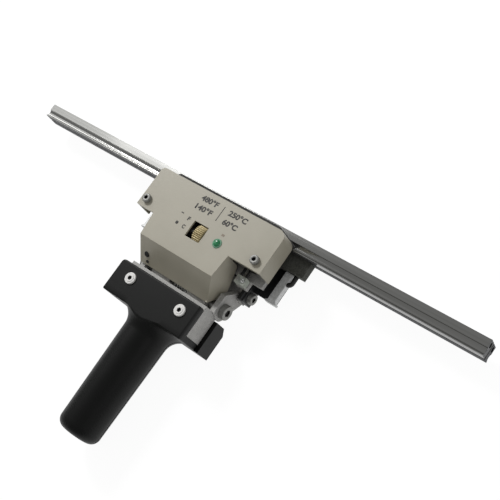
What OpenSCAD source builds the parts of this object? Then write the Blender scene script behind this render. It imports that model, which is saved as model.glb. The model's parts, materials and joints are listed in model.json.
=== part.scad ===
// Hand-held tong heat sealer: two heated jaw bars on crossing levers, thermostat housing, two-part grip.
// Millimetres. X runs along the bars, +Y from the grip to the jaws, +Z out of the dial face.
// Pieces are drawn about the jaw line (Y = 0, Z = 0 at the middle of the closed jaws), then placed.

/* [Jaw bars] */
// Length of both jaw bars
bar_len = 425; // [400:1:450]
// Bar height above the jaw line
bar_up = 5.4; // [5.2:0.1:6.2]
// Bar height below the jaw line
bar_down = 6.2; // [6:0.1:7]
// Thickness of one bar
bar_thick = 6.5; // [6.4:0.1:7.2]
// Radius of the long cove in the bar face
cove_r = 3; // [2.6:0.1:3.2]
// Distance of the cove centre below the jaw line
cove_y = 2.9; // [2.8:0.1:3.1]
// Distance of the cove centre in front of the bar face
cove_out = 1.4; // [1.2:0.1:1.8]
// Gap between the closed seal strips
jaw_gap = 0.5; // [0.4:0.1:0.8]
// Thickness of a seal strip
strip_t = 0.5; // [0.4:0.1:0.6]
// Margin of a seal strip inside the bar edges
strip_in = 0.6; // [0.4:0.1:1]
// Diameter of a heating rod
heater_d = 4; // [3.6:0.1:4.2]
// Radial clearance of a heating rod in its bar
heater_fit = 0.02; // [0.01:0.01:0.05]
// Distance of a heating rod above the jaw line
heater_y = 2.4; // [2.2:0.1:2.6]
// How far a heating rod stops short of the bar end
heater_in = 5; // [3:0.5:10]

/* [Insulators and bar bolts] */
// Depth of an insulator below its bar
insul_w = 12.3; // [11:0.1:14]
// Thickness of an insulator
insul_t = 7; // [6.8:0.1:7.4]
// How far the front insulator stops short of the floor ends
insul_front_in = 0.6; // [0:0.1:4]
// Half length of the rear insulator
insul_rear_half = 76; // [70:0.5:80]
// Height of the bar bolts over the jaw plane
bolt_z = 3.4; // [3.3:0.05:3.5]
// Diameter of a bar bolt
bolt_d = 3; // [2.8:0.1:3.1]
// Radial clearance of bolts and screws in their holes
bolt_fit = 0.05; // [0.02:0.01:0.1]
// Bolt depth in the bar
bolt_deep = 3.4; // [3:0.1:3.8]
// Diameter of a bar bolt head
bolt_head_d = 5.5; // [5.2:0.1:5.8]
// Height of a bar bolt head
bolt_head_h = 2.5; // [2:0.1:3]
// Distance of the inner bar bolts from the middle
bolt_x_in = 16; // [14:0.5:18]
// Distance of the outer bar bolts from the middle
bolt_x_out = 44; // [43.5:0.1:44.5]

/* [Grip] */
// Height of the jaw plane over the table
jaw_z = 19.1; // [19:0.1:20]
// Distance of the grip end below the jaw line
grip_end = 195; // [185:1:215]
// Height of the grip axis over the jaw plane
grip_z = 2.4; // [2:0.1:3]
// Grip radius under the flare
grip_r1 = 17.6; // [16.8:0.1:19]
// Grip radius at its end
grip_r2 = 16.4; // [15.5:0.1:17.5]
// Rounding radius of the grip end
grip_round = 7; // [5:0.5:9]
// Radius of the flare between flange and grip
flare_r = 12.6; // [12.6:0.1:20]
// Length of the flare
flare_len = 11.5; // [8:0.5:11.5]
// Height of the flange face over the jaw plane
flange_z = 23.4; // [23:0.1:24]
// Half width of the flange
flange_half = 37.5; // [37.4:0.1:39]
// Left end of the front flange from the middle
flange_left = 41.5; // [38:0.5:44]
// Top of the flange below the jaw line
flange_top = 74.6; // [74.2:0.1:76]
// Bottom of the flange below the jaw line
flange_low = 101; // [100:0.5:104]
// Thickness of the flange's front wall
flange_wall = 6.4; // [6:0.1:7]
// Thickness of the web under the tongue
web_t = 4.8; // [4.6:0.1:5.4]
// Corner radius of the flange
flange_round = 3; // [2:0.5:4]
// Gap between the grip halves
grip_gap = 0.8; // [0.7:0.1:1.2]
// Height of the split between the grip halves, from the jaw plane
seam_z = -1.8; // [-1.9:0.05:-1.7]
// Chamfer on the rear grip block
block_chamfer = 5; // [3:0.5:6]
// Half width of the rear grip block
grip_block_half = 40.2; // [37.4:0.1:42]
// Top of the rear grip block below the jaw line
grip_block_top = 75.7; // [75.6:0.1:76.5]
// Distance of the flange screws from the middle
grip_screw_x = 25.1; // [24:0.1:26]
// Distance of the flange screws below the jaw line
grip_screw_y = 84.6; // [83.5:0.1:86]
// Diameter of a flange screw
grip_screw_d = 4; // [3.6:0.1:4.4]
// Diameter of a flange screw head
grip_head_d = 6; // [5.6:0.1:6.2]
// Height of a flange screw head
grip_head_h = 1.8; // [1.7:0.1:2.2]
// Depth of a flange screw in the tongue
grip_screw_in = 9; // [7:0.5:12]
// Outer diameter of a flange washer
washer_d = 8.8; // [8:0.1:11]
// Thickness of a flange washer
washer_t = 1.4; // [1.2:0.1:1.6]
// Diameter of a rubber buffer
buffer_d = 3.6; // [3:0.1:4]
// How far a buffer stands out of the web
buffer_out = 0.35; // [0.2:0.05:0.4]
// Radial clearance of a buffer in its seat
buffer_fit = 0.02; // [0.01:0.01:0.05]
// Depth of a buffer in the web
buffer_in = 3; // [2:0.5:4]
// Distance of the buffers from the middle
buffer_x = 31; // [29:0.5:33]
// Height of the cord inlet over the jaw plane
cord_z = 5.5; // [5:0.1:6]
// Radius of the cord bore in the grommet
cord_r = 3.5; // [3.2:0.1:3.8]
// Outer radius of the cord grommet
grommet_r = 4.6; // [4.4:0.1:4.8]
// Radial clearance of the grommet in the grip
grommet_fit = 0.02; // [0.01:0.01:0.05]
// Length of the grommet
grommet_len = 11.6; // [8:0.1:14]
// How far the grommet lies inside the grip end
grommet_recess = 0.4; // [0.3:0.1:1]
// Depth of the cord hole in the grip
cord_hole = 30; // [20:1:50]
// Distance of the rear grip screws from the middle
back_screw_x = 22; // [18:0.5:26]
// Distance of the rear grip screws below the jaw line
back_screw_y = 88; // [86:0.5:92]
// Diameter of a rear grip screw head
back_head_d = 8; // [7:0.1:8.4]
// Radial clearance of a rear grip screw head
back_head_fit = 0.3; // [0.2:0.05:0.5]
// Recess of a rear grip screw head
back_head_in = 0.6; // [0.5:0.1:1]
// Height of a rear grip screw head
back_head_h = 3; // [2.5:0.1:3.5]

/* [Hinge] */
// Hinge axis below the jaw line
hinge_y = 66.5; // [66:0.1:67]
// Height of the hinge axis from the jaw plane
hinge_z = -2; // [-2.2:0.1:-1.8]
// Hinge pin diameter
pin_d = 8; // [7.5:0.1:8.4]
// Radial clearance of the pin in the cheeks
pin_fit = 0.02; // [0.01:0.01:0.03]
// Radial running clearance of the pin in the hub
pin_run = 0.05; // [0.03:0.01:0.08]
// Outer radius of hub and cheek eyes
eye_r = 8.5; // [8.2:0.1:8.8]
// Inner end of the two hub halves
hub_in = 9; // [8.8:0.1:9.5]
// Outer end of the two hub halves
hub_out = 27; // [25:0.5:27.5]
// Inner side of the cheeks
cheek_in = 34; // [33.8:0.1:34.2]
// Outer side of the cheeks
cheek_out = 38.2; // [38:0.1:38.5]
// Gap between cheek and hinge nut
nut_gap = 0.2; // [0:0.1:0.5]
// Hinge nut length
nut_len = 4.4; // [4:0.1:5]
// Hinge nut radius
nut_r = 5.6; // [5.4:0.1:6]
// Thickness of the closed end of a hinge nut
nut_cap = 2.4; // [2.2:0.1:2.6]
// Depth of the hexagon socket in a hinge nut
nut_socket = 1.6; // [1:0.1:1.8]
// Corner radius of the hexagon socket in a hinge nut
nut_socket_r = 2.9; // [2.4:0.1:3.3]
// Side gap between the hub and the tongue
hub_gap = 0.8; // [0.5:0.1:1.2]
// Running gap around eyes that pass the other lever
eye_gap = 0.9; // [0.7:0.1:1.1]
// Mean radius of the return spring
spring_r = 6; // [5.8:0.1:6.1]
// Wire radius of the return spring
spring_wire = 0.7; // [0.6:0.05:0.8]
// Number of spring curls
spring_curls = 5; // [4:1:5]
// Pitch of the spring
spring_pitch = 2.3; // [2.2:0.1:2.4]
// Length of the spring leg in the tongue
spring_leg = 7; // [6:0.5:8]
// Length of the short spring leg
spring_stub = 4; // [3:0.5:4.5]

/* [Main casting] */
// Half width of the tongue
tongue_half = 37.3; // [37:0.1:37.4]
// Top of the tongue below the jaw line
tongue_top = 71.8; // [71.6:0.1:72.2]
// Half width of the yoke behind the housing
yoke_half = 40; // [39.5:0.1:40.5]
// Height of the cheeks over the jaw plane
cheek_top = 6.8; // [5:0.1:7.2]
// Where the cheek edge turns down, below the jaw line
cheek_turn_y = 57.5; // [57:0.5:59]
// Where the cheek edge meets the yoke, below the jaw line
cheek_yoke_y = 48; // [46:0.5:50]
// Lower edge of the yoke below the jaw line
yoke_low = 54; // [53:0.5:55]
// Upper edge of the yoke below the jaw line
yoke_up = 40; // [39.5:0.5:41]
// Front of the yoke behind the jaw plane
yoke_front = 8; // [7.5:0.1:9]
// Gap between the yoke and the table
yoke_lift = 0.6; // [0.4:0.1:1]

/* [Rear jaw bracket] */
// Half width over the columns
column_out = 67; // [65:0.1:69]
// Width of a column
column_w = 6.8; // [6:0.1:7.4]
// Front of a column behind the jaw plane
column_front = 4.5; // [4:0.1:5]
// Depth of a column
column_d = 5; // [4.4:0.1:5.4]
// Lower end of a column below the jaw line
column_low = 42.4; // [42:0.1:43]
// Thickness of a column's foot plate
column_foot_t = 1.8; // [1.4:0.1:2.4]
// How far a foot plate stands out past its column
column_foot_out = 1.6; // [1:0.1:2]
// Half width of the beam under the insulator
beam_half = 50; // [48:0.5:54]
// Height of the beam under the insulator
beam_h = 6; // [5:0.1:7]
// Front of the beam behind the jaw plane
beam_front = 1.2; // [1:0.1:1.4]
// Thickness of the shield plate behind the columns
shield_t = 2; // [1.6:0.1:2.4]
// How far the shield rises behind the insulator
shield_up = 4; // [2:0.5:6]
// How far the shield stops short of the columns' outer sides
shield_in = 1; // [0.5:0.1:2]
// Gap between the shield and the yoke
shield_gap = 0.4; // [0.3:0.1:0.6]
// Lower edge of the shield beside the yoke, below the jaw line
shield_low = 42.8; // [42.4:0.1:43]
// Half width of the pad that the sealer lies on
pad_half = 40; // [36:0.5:44]
// Lower edge of the pad below the jaw line
pad_low = 30; // [28:0.5:34]
// Upper edge of the pad below the jaw line
pad_up = 20; // [19:0.5:22]
// Lower edge of the bracket lugs below the jaw line
lug_low = 53; // [52:0.5:54]
// Upper edge of the bracket lugs below the jaw line
lug_up = 39; // [38.5:0.1:39.5]
// Thickness of a bracket lug
lug_t = 4.8; // [4.4:0.1:5.2]
// Front of a lug behind the jaw plane
lug_front = 4; // [3.5:0.1:5]
// Bracket bolt height below the jaw line
lug_bolt_y = 47.5; // [47:0.1:48]
// Bracket bolt distance behind the jaw plane
lug_bolt_z = 12; // [11.8:0.1:12.4]
// Diameter of a bracket bolt
lug_bolt_d = 5; // [4.6:0.1:5.2]
// Depth of a bracket bolt in the yoke
lug_bolt_in = 10; // [8:0.5:11]
// Diameter of a bracket bolt head
lug_head_d = 8.4; // [8:0.1:9]
// Height of a bracket bolt head
lug_head_h = 3.6; // [3:0.1:4]
// Radial room round a bracket bolt head
lug_head_gap = 0.4; // [0.3:0.1:0.6]
// Rear lead distance from the column's outer side
rear_lead_out = 2.4; // [2.2:0.1:5.2]
// Radius of the rear lead
rear_lead_r = 1.8; // [1.4:0.1:2]
// Height of the rear lead behind the jaw plane
rear_lead_z = 5.9; // [5.6:0.1:5.9]
// Straight length of the rear lead
rear_lead_run = 5.5; // [3:0.5:8]

/* [Housing casting] */
// Half width of the rear plate
plate_half = 33; // [32:0.1:33.2]
// Lower edge of the rear plate below the jaw line
plate_low = 98; // [97:0.1:98.5]
// Upper edge of the rear plate below the jaw line
plate_up = 75.9; // [75.8:0.05:76]
// Where the hub webs end on the rear plate, below the jaw line
hub_web_y = 80; // [78:0.5:84]
// Gap between the rear plate and the split plane
plate_gap = 0.6; // [0.5:0.1:0.8]
// Thickness of the rear plate
plate_t = 7.8; // [7.4:0.1:8]
// Thickness of the hub webs on the rear plate
hub_web_t = 5.8; // [5.4:0.1:6.2]
// Clearance of the rear plate in its pocket
pocket_fit = 0.15; // [0.1:0.05:0.25]
// Half width of the housing floor
floor_half = 57.6; // [56:0.1:57.9]
// Lower edge of the floor below the jaw line
floor_low = 40; // [39.5:0.1:40.2]
// Underside of the floor over the jaw plane
floor_z = 1.5; // [1.3:0.1:1.8]
// Thickness of the floor
floor_t = 4; // [3.6:0.1:4.2]
// Thickness of the floor's jaw wall
jaw_wall_t = 4; // [3.6:0.1:4.4]
// Height of the jaw wall over the floor's underside
jaw_wall_h = 6.6; // [6.2:0.1:6.8]
// Half width of a bolt notch in the floor
notch_half = 3.6; // [3.4:0.1:3.8]
// Length of a bolt notch in the floor
notch_len = 11; // [9:0.5:12]
// Radius of a cover post
post_r = 4; // [3.6:0.1:4.2]
// Gap between the cheek and the terminal shelf
shelf_gap = 0.4; // [0.3:0.1:0.8]
// Width of the terminal shelf
shelf_w = 9.2; // [8.8:0.1:9.6]
// Shelf for the terminal block: reach below the floor edge
shelf_reach = 6.6; // [6:0.1:8]

/* [Front cover] */
// Sheet thickness of the cover
sheet = 1.5; // [1.2:0.1:1.6]
// Face of the cover over the jaw plane
cover_z = 26.5; // [26:0.1:27.5]
// Gap between the back edge of the wings and the insulating sheet
wing_gap = 0.25; // [0.15:0.05:0.5]
// Left side of the cover
cover_left = 59.5; // [59:0.1:60.5]
// Right side of the cover
cover_right = 62; // [61:0.1:63]
// Top of the cover below the jaw line
cover_top = 1.5; // [1.2:0.1:2.4]
// Lower edge of the wings below the jaw line
wing_low = 35.4; // [35:0.1:36]
// Depth of the small lip on the lower wing edges
wing_lip = 2.4; // [2:0.1:3]
// Corner radius of the right wing
wing_round = 6.5; // [5:0.5:8]
// Corner radius of the left wing
wing_round_left = 3.6; // [3:0.1:5]
// Thickness of the insulating sheet between bar and cover
heat_sheet_t = 1.1; // [0.8:0.1:1.2]
// Left end of the insulating sheet
heat_sheet_left = 59; // [55:0.5:64]
// Right end of the insulating sheet
heat_sheet_right = 63; // [60:0.5:68]
// Upper edge of the insulating sheet over the jaw line
heat_sheet_up = 4.4; // [3:0.1:5]
// Corner radius of the insulating sheet
heat_sheet_round = 4; // [3:0.5:5]
// Where the upper edge of the insulating sheet starts to slope
heat_sheet_slope = 43; // [30:1:50]
// Upper corner of the sheet's right end below the jaw line
heat_sheet_end = 3.1; // [1:0.1:4]
// Left side of the middle part at the wings
mid_left = 41.6; // [41.2:0.1:42]
// Right side of the middle part at the wings
mid_right = 33.3; // [33.2:0.1:33.5]
// Left side of the middle part at the bottom
low_left = 38.1; // [38:0.1:38.6]
// Right side of the middle part at the bottom
low_right = 29.8; // [29.7:0.1:30.1]
// Bend line of the slanted face below the jaw line
bend_y = 53.5; // [53:0.1:54]
// Lower edge of the slanted face below the jaw line
slant_y = 68.7; // [68.4:0.1:68.8]
// Lower edge of the slanted face over the jaw plane
slant_z = 8.8; // [8.8:0.1:9.2]
// Lowest point of the right ear below the jaw line
ear_y = 57; // [56:0.5:58]
// Depth of the right ear behind the jaw plane
ear_z = 5; // [4:0.5:6]
// Cover screws from the middle
cover_screw_x = 53.4; // [53:0.1:54]
// Cover screws below the jaw line
cover_screw_y = 28.9; // [28.5:0.1:29.5]
// Diameter of a cover screw
cover_screw_d = 4; // [3.6:0.1:4.2]
// Depth of a cover screw in its post
cover_screw_in = 10; // [8:0.5:14]
// Diameter of a cover screw head
cover_head_d = 6.8; // [6.2:0.1:7.4]
// Height of a cover screw head
cover_head_h = 3; // [2.4:0.1:3.4]
// Left side of the wheel window
window_left = 7; // [6.6:0.1:7.4]
// Right side of the wheel window
window_right = 6.8; // [6.8:0.1:7.2]
// Lower edge of the window below the jaw line
window_low = 38.3; // [38:0.1:39]
// Upper edge of the window below the jaw line
window_up = 25.3; // [25:0.1:25.6]
// Diameter of the large black plug
plug_d1 = 4.6; // [4:0.1:5]
// Diameter of the small black plug
plug_d2 = 2.6; // [2.2:0.1:3]
// How far the plugs stand out
plug_out = 0.6; // [0.4:0.1:1]

/* [Controls] */
// Thumbwheel radius
wheel_r = 7.5; // [7:0.1:7.6]
// Thumbwheel width
wheel_w = 8; // [7:0.1:8.2]
// Left side of the thumbwheel
wheel_left = 1.8; // [1.6:0.1:2]
// How far the thumbwheel stands out of the face
wheel_out = 1.4; // [1.2:0.1:1.6]
// Number of thumbwheel ribs
wheel_ribs = 30; // [20:2:36]
// Depth of the thumbwheel grooves
wheel_groove = 0.5; // [0.3:0.1:0.6]
// Wheel shaft diameter
shaft_d = 4; // [3.6:0.1:4.4]
// Radial clearance of the wheel on its shaft
wheel_fit = 0.02; // [0.01:0.01:0.03]
// Radial running clearance of the wheel shaft
shaft_run = 0.05; // [0.03:0.01:0.08]
// Left end of the wheel shaft
shaft_left = 14; // [13.5:0.1:14.5]
// Right end of the wheel shaft
shaft_right = 9.6; // [9.6:0.1:10.2]
// Thermostat body left side
thermo_left = 32; // [30:0.5:34]
// Thermostat body right side
thermo_right = 9.6; // [9.5:0.1:9.8]
// Thermostat body height below the top of its bracket foot
thermo_h = 16.4; // [15:0.1:17]
// Thermostat body depth along the lever
thermo_d = 12.4; // [11:0.1:12.8]
// Sheet thickness of the thermostat bracket
bracket_t = 1.6; // [1.4:0.1:1.8]
// Inner side of the second bracket upright
upright_x = 7.8; // [7.6:0.1:8]
// Lamp distance from the middle
lamp_x = 19.9; // [19:0.1:22]
// Lamp distance below the jaw line
lamp_y = 31.8; // [31:0.1:33]
// Lamp lens diameter
lamp_d = 5.4; // [5:0.1:6]
// Lamp lens rim diameter
lamp_rim_d = 7.2; // [6.8:0.1:7.6]
// Lamp lens rim thickness
lamp_rim_t = 0.6; // [0.5:0.1:0.8]
// Lamp dome height over the rim
lamp_dome = 1.2; // [1:0.1:1.6]
// Length of the lamp stem
lamp_stem = 8; // [6:0.5:9]
// Lamp holder diameter
lamp_holder_d = 8.6; // [8:0.1:9]
// Lamp holder length
lamp_holder_len = 12; // [10:0.5:13]
// Radial clearance of the lamp stem
lamp_fit = 0.03; // [0.02:0.01:0.05]
// Terminal block height
block_h = 6; // [5.9:0.1:7]
// Terminal block margin on its shelf
block_in = 0.4; // [0.3:0.1:0.6]
// Terminal screw spacing
term_pitch = 4.4; // [4.2:0.1:4.6]
// Terminal screw head diameter
term_head_d = 3.2; // [3:0.1:3.6]
// Terminal screw head height
term_head_h = 1; // [0.8:0.1:1.4]
// Terminal screw shank diameter
term_d = 2.4; // [2:0.1:2.6]
// Terminal screw depth
term_in = 4; // [3:0.5:5]
// Radius of the front leads
lead_r = 1.1; // [1:0.05:1.2]
// Height of the front leads over the jaw plane
lead_z = 10.2; // [10:0.1:10.4]
// Bend radius of the front leads
lead_bend = 2.4; // [2.2:0.1:2.6]

/* [Hidden] */
$fn = 48;
far = 300;
jaw_y = (grip_end - bar_up) / 2;
strip_z = jaw_gap / 2;
bar_z0 = strip_z + strip_t;
bar_z1 = bar_z0 + bar_thick;
heater_z = bar_z0 + bar_thick / 2;
insul_low = bar_down + insul_w;
insul_front_half = floor_half - insul_front_in;
bolt_xs = [-bolt_x_out, -bolt_x_in, bolt_x_in, bolt_x_out];
slot_z = flange_z - flange_wall;
tongue_low = flange_low - web_t;
rear_z = seam_z - grip_gap;
plate_z1 = rear_z - plate_gap;
plate_z0 = plate_z1 - plate_t;
hub_web_z0 = plate_z1 - hub_web_t;
eye_clear = eye_r + eye_gap;
lug_in = yoke_half;
lug_out = lug_in + lug_t;
beam_low = insul_low + beam_h;
shield_z0 = column_front + column_d;
shield_z1 = shield_z0 + shield_t;
shield_half = column_out - shield_in;
rear_lead_x = column_out + rear_lead_out;
floor_top = floor_z + floor_t;
wall_low = insul_low + jaw_wall_t;
wing_back = bar_z1 + heat_sheet_t + wing_gap;
post_top = cover_z - sheet;
slant_tilt = atan2(cover_z - slant_z, slant_y - bend_y);
wheel_z = cover_z + wheel_out - wheel_r;
wheel_y = (window_low + window_up) / 2;
wheel_right = wheel_w - wheel_left;
foot_top = floor_top + bracket_t;
foot_y0 = wheel_y + thermo_d / 2;
foot_y1 = wheel_y - thermo_d / 2;
shelf_in = cheek_out + shelf_gap;
shelf_out = shelf_in + shelf_w;
block_top = floor_top + block_h;
block_y0 = floor_low + shelf_reach - block_in;
block_mid = (shelf_in + shelf_out) / 2;
plug_x1 = -32;
plug_y1 = 62.8;
plug_x2 = -31;
plug_y2 = 66.6;

// Placing and small shared shapes
module placed() translate([0, jaw_y, jaw_z]) children();
module box(a, b) translate(a) cube([b[0] - a[0], b[1] - a[1], b[2] - a[2]]);
module along_x(x0, x1) translate([x0, 0, 0]) rotate([90, 0, 90]) linear_extrude(x1 - x0) children();
module rod_x(x0, x1, r) translate([x0, 0, 0]) rotate([0, 90, 0]) cylinder(h = x1 - x0, r = r);
module rod_y(y0, y1, r) translate([0, y0, 0]) rotate([-90, 0, 0]) cylinder(h = y1 - y0, r = r);
module both() {
    children();
    mirror([1, 0, 0]) children();
}
module at_hinge() translate([0, -hinge_y, hinge_z]) children();
module rounded(x0, y0, x1, y1, r) {
    translate([x0 + r, y0]) square([x1 - x0 - 2 * r, y1 - y0]);
    translate([x0, y0 + r]) square([x1 - x0, y1 - y0 - 2 * r]);
    for (x = [x0 + r, x1 - r])
        for (y = [y0 + r, y1 - r])
            translate([x, y]) circle(r);
}

// Jaw bars, drawn for the front jaw and mirrored for the rear one
module bar_holes(depth) {
    for (x = bolt_xs)
        translate([x, 0, bolt_z]) rod_y(-far / 4, -bar_down + depth, bolt_d / 2 + bolt_fit);
}
module jaw_bar() {
    difference() {
        along_x(-bar_len / 2, bar_len / 2)
            difference() {
                translate([-bar_down, bar_z0]) square([bar_down + bar_up, bar_thick]);
                translate([-cove_y, bar_z1 + cove_out]) circle(cove_r);
                translate([heater_y, heater_z]) circle(heater_d / 2 + heater_fit);
            }
        bar_holes(bolt_deep + 0.3);
    }
}
module jaw_heater()
    translate([0, heater_y, heater_z]) rod_x(-bar_len / 2 + heater_in, bar_len / 2 - heater_in, heater_d / 2);
module jaw_strip()
    box([-bar_len / 2 + strip_in, -bar_down + strip_in, strip_z], [bar_len / 2 - strip_in, bar_up - strip_in, bar_z0]);
module jaw_insulator(half) {
    difference() {
        box([-half, -insul_low, bar_z0], [half, -bar_down, bar_z0 + insul_t]);
        bar_holes(1);
    }
}
module jaw_bolts(head_y) {
    for (x = bolt_xs)
        translate([x, 0, bolt_z]) {
            rod_y(-head_y, -bar_down + bolt_deep, bolt_d / 2);
            difference() {
                rod_y(-head_y - bolt_head_h, -head_y, bolt_head_d / 2);
                translate([0, -head_y - bolt_head_h / 2 - 1, 0]) rotate([90, 0, 0])
                    cylinder(h = bolt_head_h, r = bolt_head_d / 4, $fn = 6);
            }
        }
}
module front_bar() color("silver") placed() jaw_bar();
module rear_bar() color("silver") placed() mirror([0, 0, 1]) jaw_bar();
module front_heater() color("dimgray") placed() jaw_heater();
module rear_heater() color("dimgray") placed() mirror([0, 0, 1]) jaw_heater();
module front_seal_strip() color("tan") placed() jaw_strip();
module rear_seal_strip() color("tan") placed() mirror([0, 0, 1]) jaw_strip();
module front_insulator() color("dimgray") placed() jaw_insulator(insul_front_half);
module rear_insulator() color("dimgray") placed() mirror([0, 0, 1]) jaw_insulator(insul_rear_half);
module front_bar_bolts() color("silver") placed() jaw_bolts(wall_low);
module rear_bar_bolts() color("silver") placed() mirror([0, 0, 1]) jaw_bolts(beam_low);

// Round grip with its flare, turned about the grip axis
module grip_round_solid() {
    body = grip_end - flange_low;
    translate([0, -flange_low, grip_z]) rotate([90, 0, 0]) rotate_extrude() {
        polygon([[0, -1], [grip_r1, -1], [grip_r1, flare_len], [grip_r2, body - grip_round],
            [grip_r2 - grip_round, body], [0, body]]);
        translate([grip_r2 - grip_round, body - grip_round]) intersection() {
            circle(grip_round);
            square(grip_round);
        }
        difference() {
            translate([grip_r1 - 1, -1])
                square([flare_r + 1 - sqrt(flare_r * flare_r - (flare_len + 1) * (flare_len + 1)), flare_len + 1]);
            translate([grip_r1 + flare_r, flare_len]) circle(flare_r, $fn = 96);
        }
    }
}
module flange_outline() rounded(-flange_left, -flange_low, flange_half, -flange_top, flange_round);
module flange_holes(depth) {
    both() translate([grip_screw_x, -grip_screw_y, slot_z - depth])
        cylinder(h = far, r = grip_screw_d / 2 + bolt_fit);
}
module buffer_seats(extra, fit) {
    both() translate([buffer_x, -flange_low + web_t / 2, seam_z - extra])
        cylinder(h = buffer_in + extra, r = buffer_d / 2 + fit);
}
module front_grip() color([0.13, 0.13, 0.13]) placed() {
    difference() {
        union() {
            translate([0, 0, slot_z]) linear_extrude(flange_wall) flange_outline();
            box([-flange_left, -flange_low, seam_z], [flange_half, -tongue_low, slot_z + 1]);
            intersection() {
                grip_round_solid();
                box([-flange_half, -far, seam_z], [flange_half, -flange_low + 0.5, flange_z]);
            }
        }
        flange_holes(1);
        buffer_seats(0, buffer_fit);
        translate([0, 0, cord_z]) rod_y(-grip_end - 1, -grip_end + cord_hole, grommet_r + grommet_fit);
    }
}
module front_grip_washers() color("white") placed()
    both() translate([grip_screw_x, -grip_screw_y, flange_z]) difference() {
        cylinder(h = washer_t, r = washer_d / 2);
        translate([0, 0, -1]) cylinder(h = washer_t + 2, r = grip_head_d / 2 + bolt_fit);
    }
module front_grip_screws() color("white") placed()
    both() translate([grip_screw_x, -grip_screw_y, flange_z]) difference() {
        union() {
            cylinder(h = grip_head_h, r = grip_head_d / 2);
            translate([0, 0, -flange_wall - grip_screw_in])
                cylinder(h = flange_wall + grip_screw_in + 0.5, r = grip_screw_d / 2);
        }
        translate([0, 0, 0.2]) cylinder(h = far, r = grip_head_d / 3.4, $fn = 6);
    }
module grip_buffers() color("black") placed() buffer_seats(buffer_out, 0);
module inlet_grommet() color("black") placed() translate([0, -grip_end + grommet_recess, cord_z])
    difference() {
        rod_y(0, grommet_len, grommet_r);
        rod_y(-1, grommet_len + 1, cord_r);
    }
module rear_grip() color([0.13, 0.13, 0.13]) placed() {
    difference() {
        union() {
            along_x(-grip_block_half, grip_block_half)
                polygon([[-flange_low, rear_z], [-flange_low, -jaw_z],
                    [-grip_block_top - block_chamfer, -jaw_z], [-grip_block_top, -jaw_z + block_chamfer],
                    [-grip_block_top, rear_z]]);
            intersection() {
                grip_round_solid();
                box([-flange_half, -far, -jaw_z], [flange_half, -flange_low + 0.5, rear_z]);
            }
        }
        box([-plate_half - pocket_fit, -plate_low - pocket_fit, plate_z0],
            [plate_half + pocket_fit, 0, rear_z + 1]);
        both() translate([back_screw_x, -back_screw_y, -jaw_z]) {
            translate([0, 0, -1]) cylinder(h = far / 10, r = grip_screw_d / 2 + bolt_fit);
            translate([0, 0, -1]) cylinder(h = back_head_in + back_head_h + 1, r = back_head_d / 2 + back_head_fit);
        }
    }
}
module rear_grip_screws() color("gray") placed()
    both() translate([back_screw_x, -back_screw_y, -jaw_z + back_head_in]) difference() {
        union() {
            cylinder(h = back_head_h, r = back_head_d / 2);
            cylinder(h = jaw_z + plate_z1 - back_head_in - 1.5, r = grip_screw_d / 2);
        }
        translate([0, 0, -1]) cylinder(h = back_head_h / 2 + 1, r = back_head_d / 4, $fn = 6);
    }

// Lever A casting: tongue in the grip flange, cheeks with the pin, yoke behind the housing
module main_casting() color([0.72, 0.72, 0.7]) placed() {
    difference() {
        union() {
            box([-tongue_half, -tongue_low, seam_z], [tongue_half, -tongue_top, slot_z]);
            both() at_hinge() rod_x(cheek_in, cheek_out, eye_r);
            both() along_x(cheek_in, cheek_out)
                polygon([[-tongue_top - 1, seam_z], [-tongue_top - 1, cheek_top], [-cheek_turn_y, cheek_top],
                    [-cheek_yoke_y, -yoke_front], [-yoke_up, -yoke_front], [-yoke_up, -jaw_z + yoke_lift],
                    [-yoke_low, -jaw_z + yoke_lift], [-hinge_y, hinge_z - eye_r]]);
            box([-yoke_half, -yoke_low, -jaw_z + yoke_lift], [yoke_half, -yoke_up, -yoke_front]);
        }
        at_hinge() rod_x(-hub_out - hub_gap, hub_out + hub_gap, eye_clear);
        at_hinge() rod_x(-far / 2, far / 2, pin_d / 2 + pin_fit);
        flange_holes(grip_screw_in + 0.5);
        box([-spring_curls * spring_pitch / 2 - 2, -hinge_y - spring_leg - 2, hinge_z + spring_r - 1.6],
            [spring_curls * spring_pitch / 2 + 2, -tongue_top + 1, hinge_z + spring_r + 1.6]);
        both() translate([0, -lug_bolt_y, -lug_bolt_z])
            rod_x(lug_in - lug_bolt_in - 0.5, far, lug_bolt_d / 2 + bolt_fit);
    }
}
module hinge_pin() color("silver") placed() at_hinge()
    rod_x(-cheek_out - nut_gap - nut_len + nut_cap, cheek_out + nut_gap + nut_len - nut_cap, pin_d / 2);
module hinge_nuts() color("gray") placed() both() at_hinge() translate([cheek_out + nut_gap, 0, 0])
    difference() {
        rod_x(0, nut_len, nut_r);
        rod_x(-1, nut_len - nut_cap, pin_d / 2 + pin_fit);
        translate([nut_len - nut_socket, 0, 0]) rotate([0, 90, 0]) cylinder(h = nut_len, r = nut_socket_r, $fn = 6);
    }

// Torsion spring: one unbroken round wire, its long leg in the tongue, its stub towards the rear plate
function spring_at(a) = [a / 360 * spring_pitch - spring_curls * spring_pitch / 2,
    spring_r * cos(a - 90), spring_r * sin(a - 90)];
spring_turn = spring_curls * 360 + 180;
spring_path = concat([spring_at(0) - [0, spring_stub, 0]],
    [for (i = [0 : (spring_curls * 8 + 4)]) spring_at(i * 45)],
    [spring_at(spring_turn) - [0, spring_leg, 0]]);
spring_count = len(spring_path);
function spring_tangent(i) = let (d = spring_path[min(i + 1, spring_count - 1)] - spring_path[max(i - 1, 0)])
    d / norm(d);
function spring_ring(i) = let (
        t = spring_tangent(i),
        u0 = cross([1, 0, 0], t),
        u = u0 / norm(u0),
        w = cross(t, u))
    [for (k = [0 : 5]) spring_path[i] + spring_wire * (cos(60 * k) * u + sin(60 * k) * w)];
spring_points = [for (i = [0 : spring_count - 1]) each spring_ring(i)];
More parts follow.
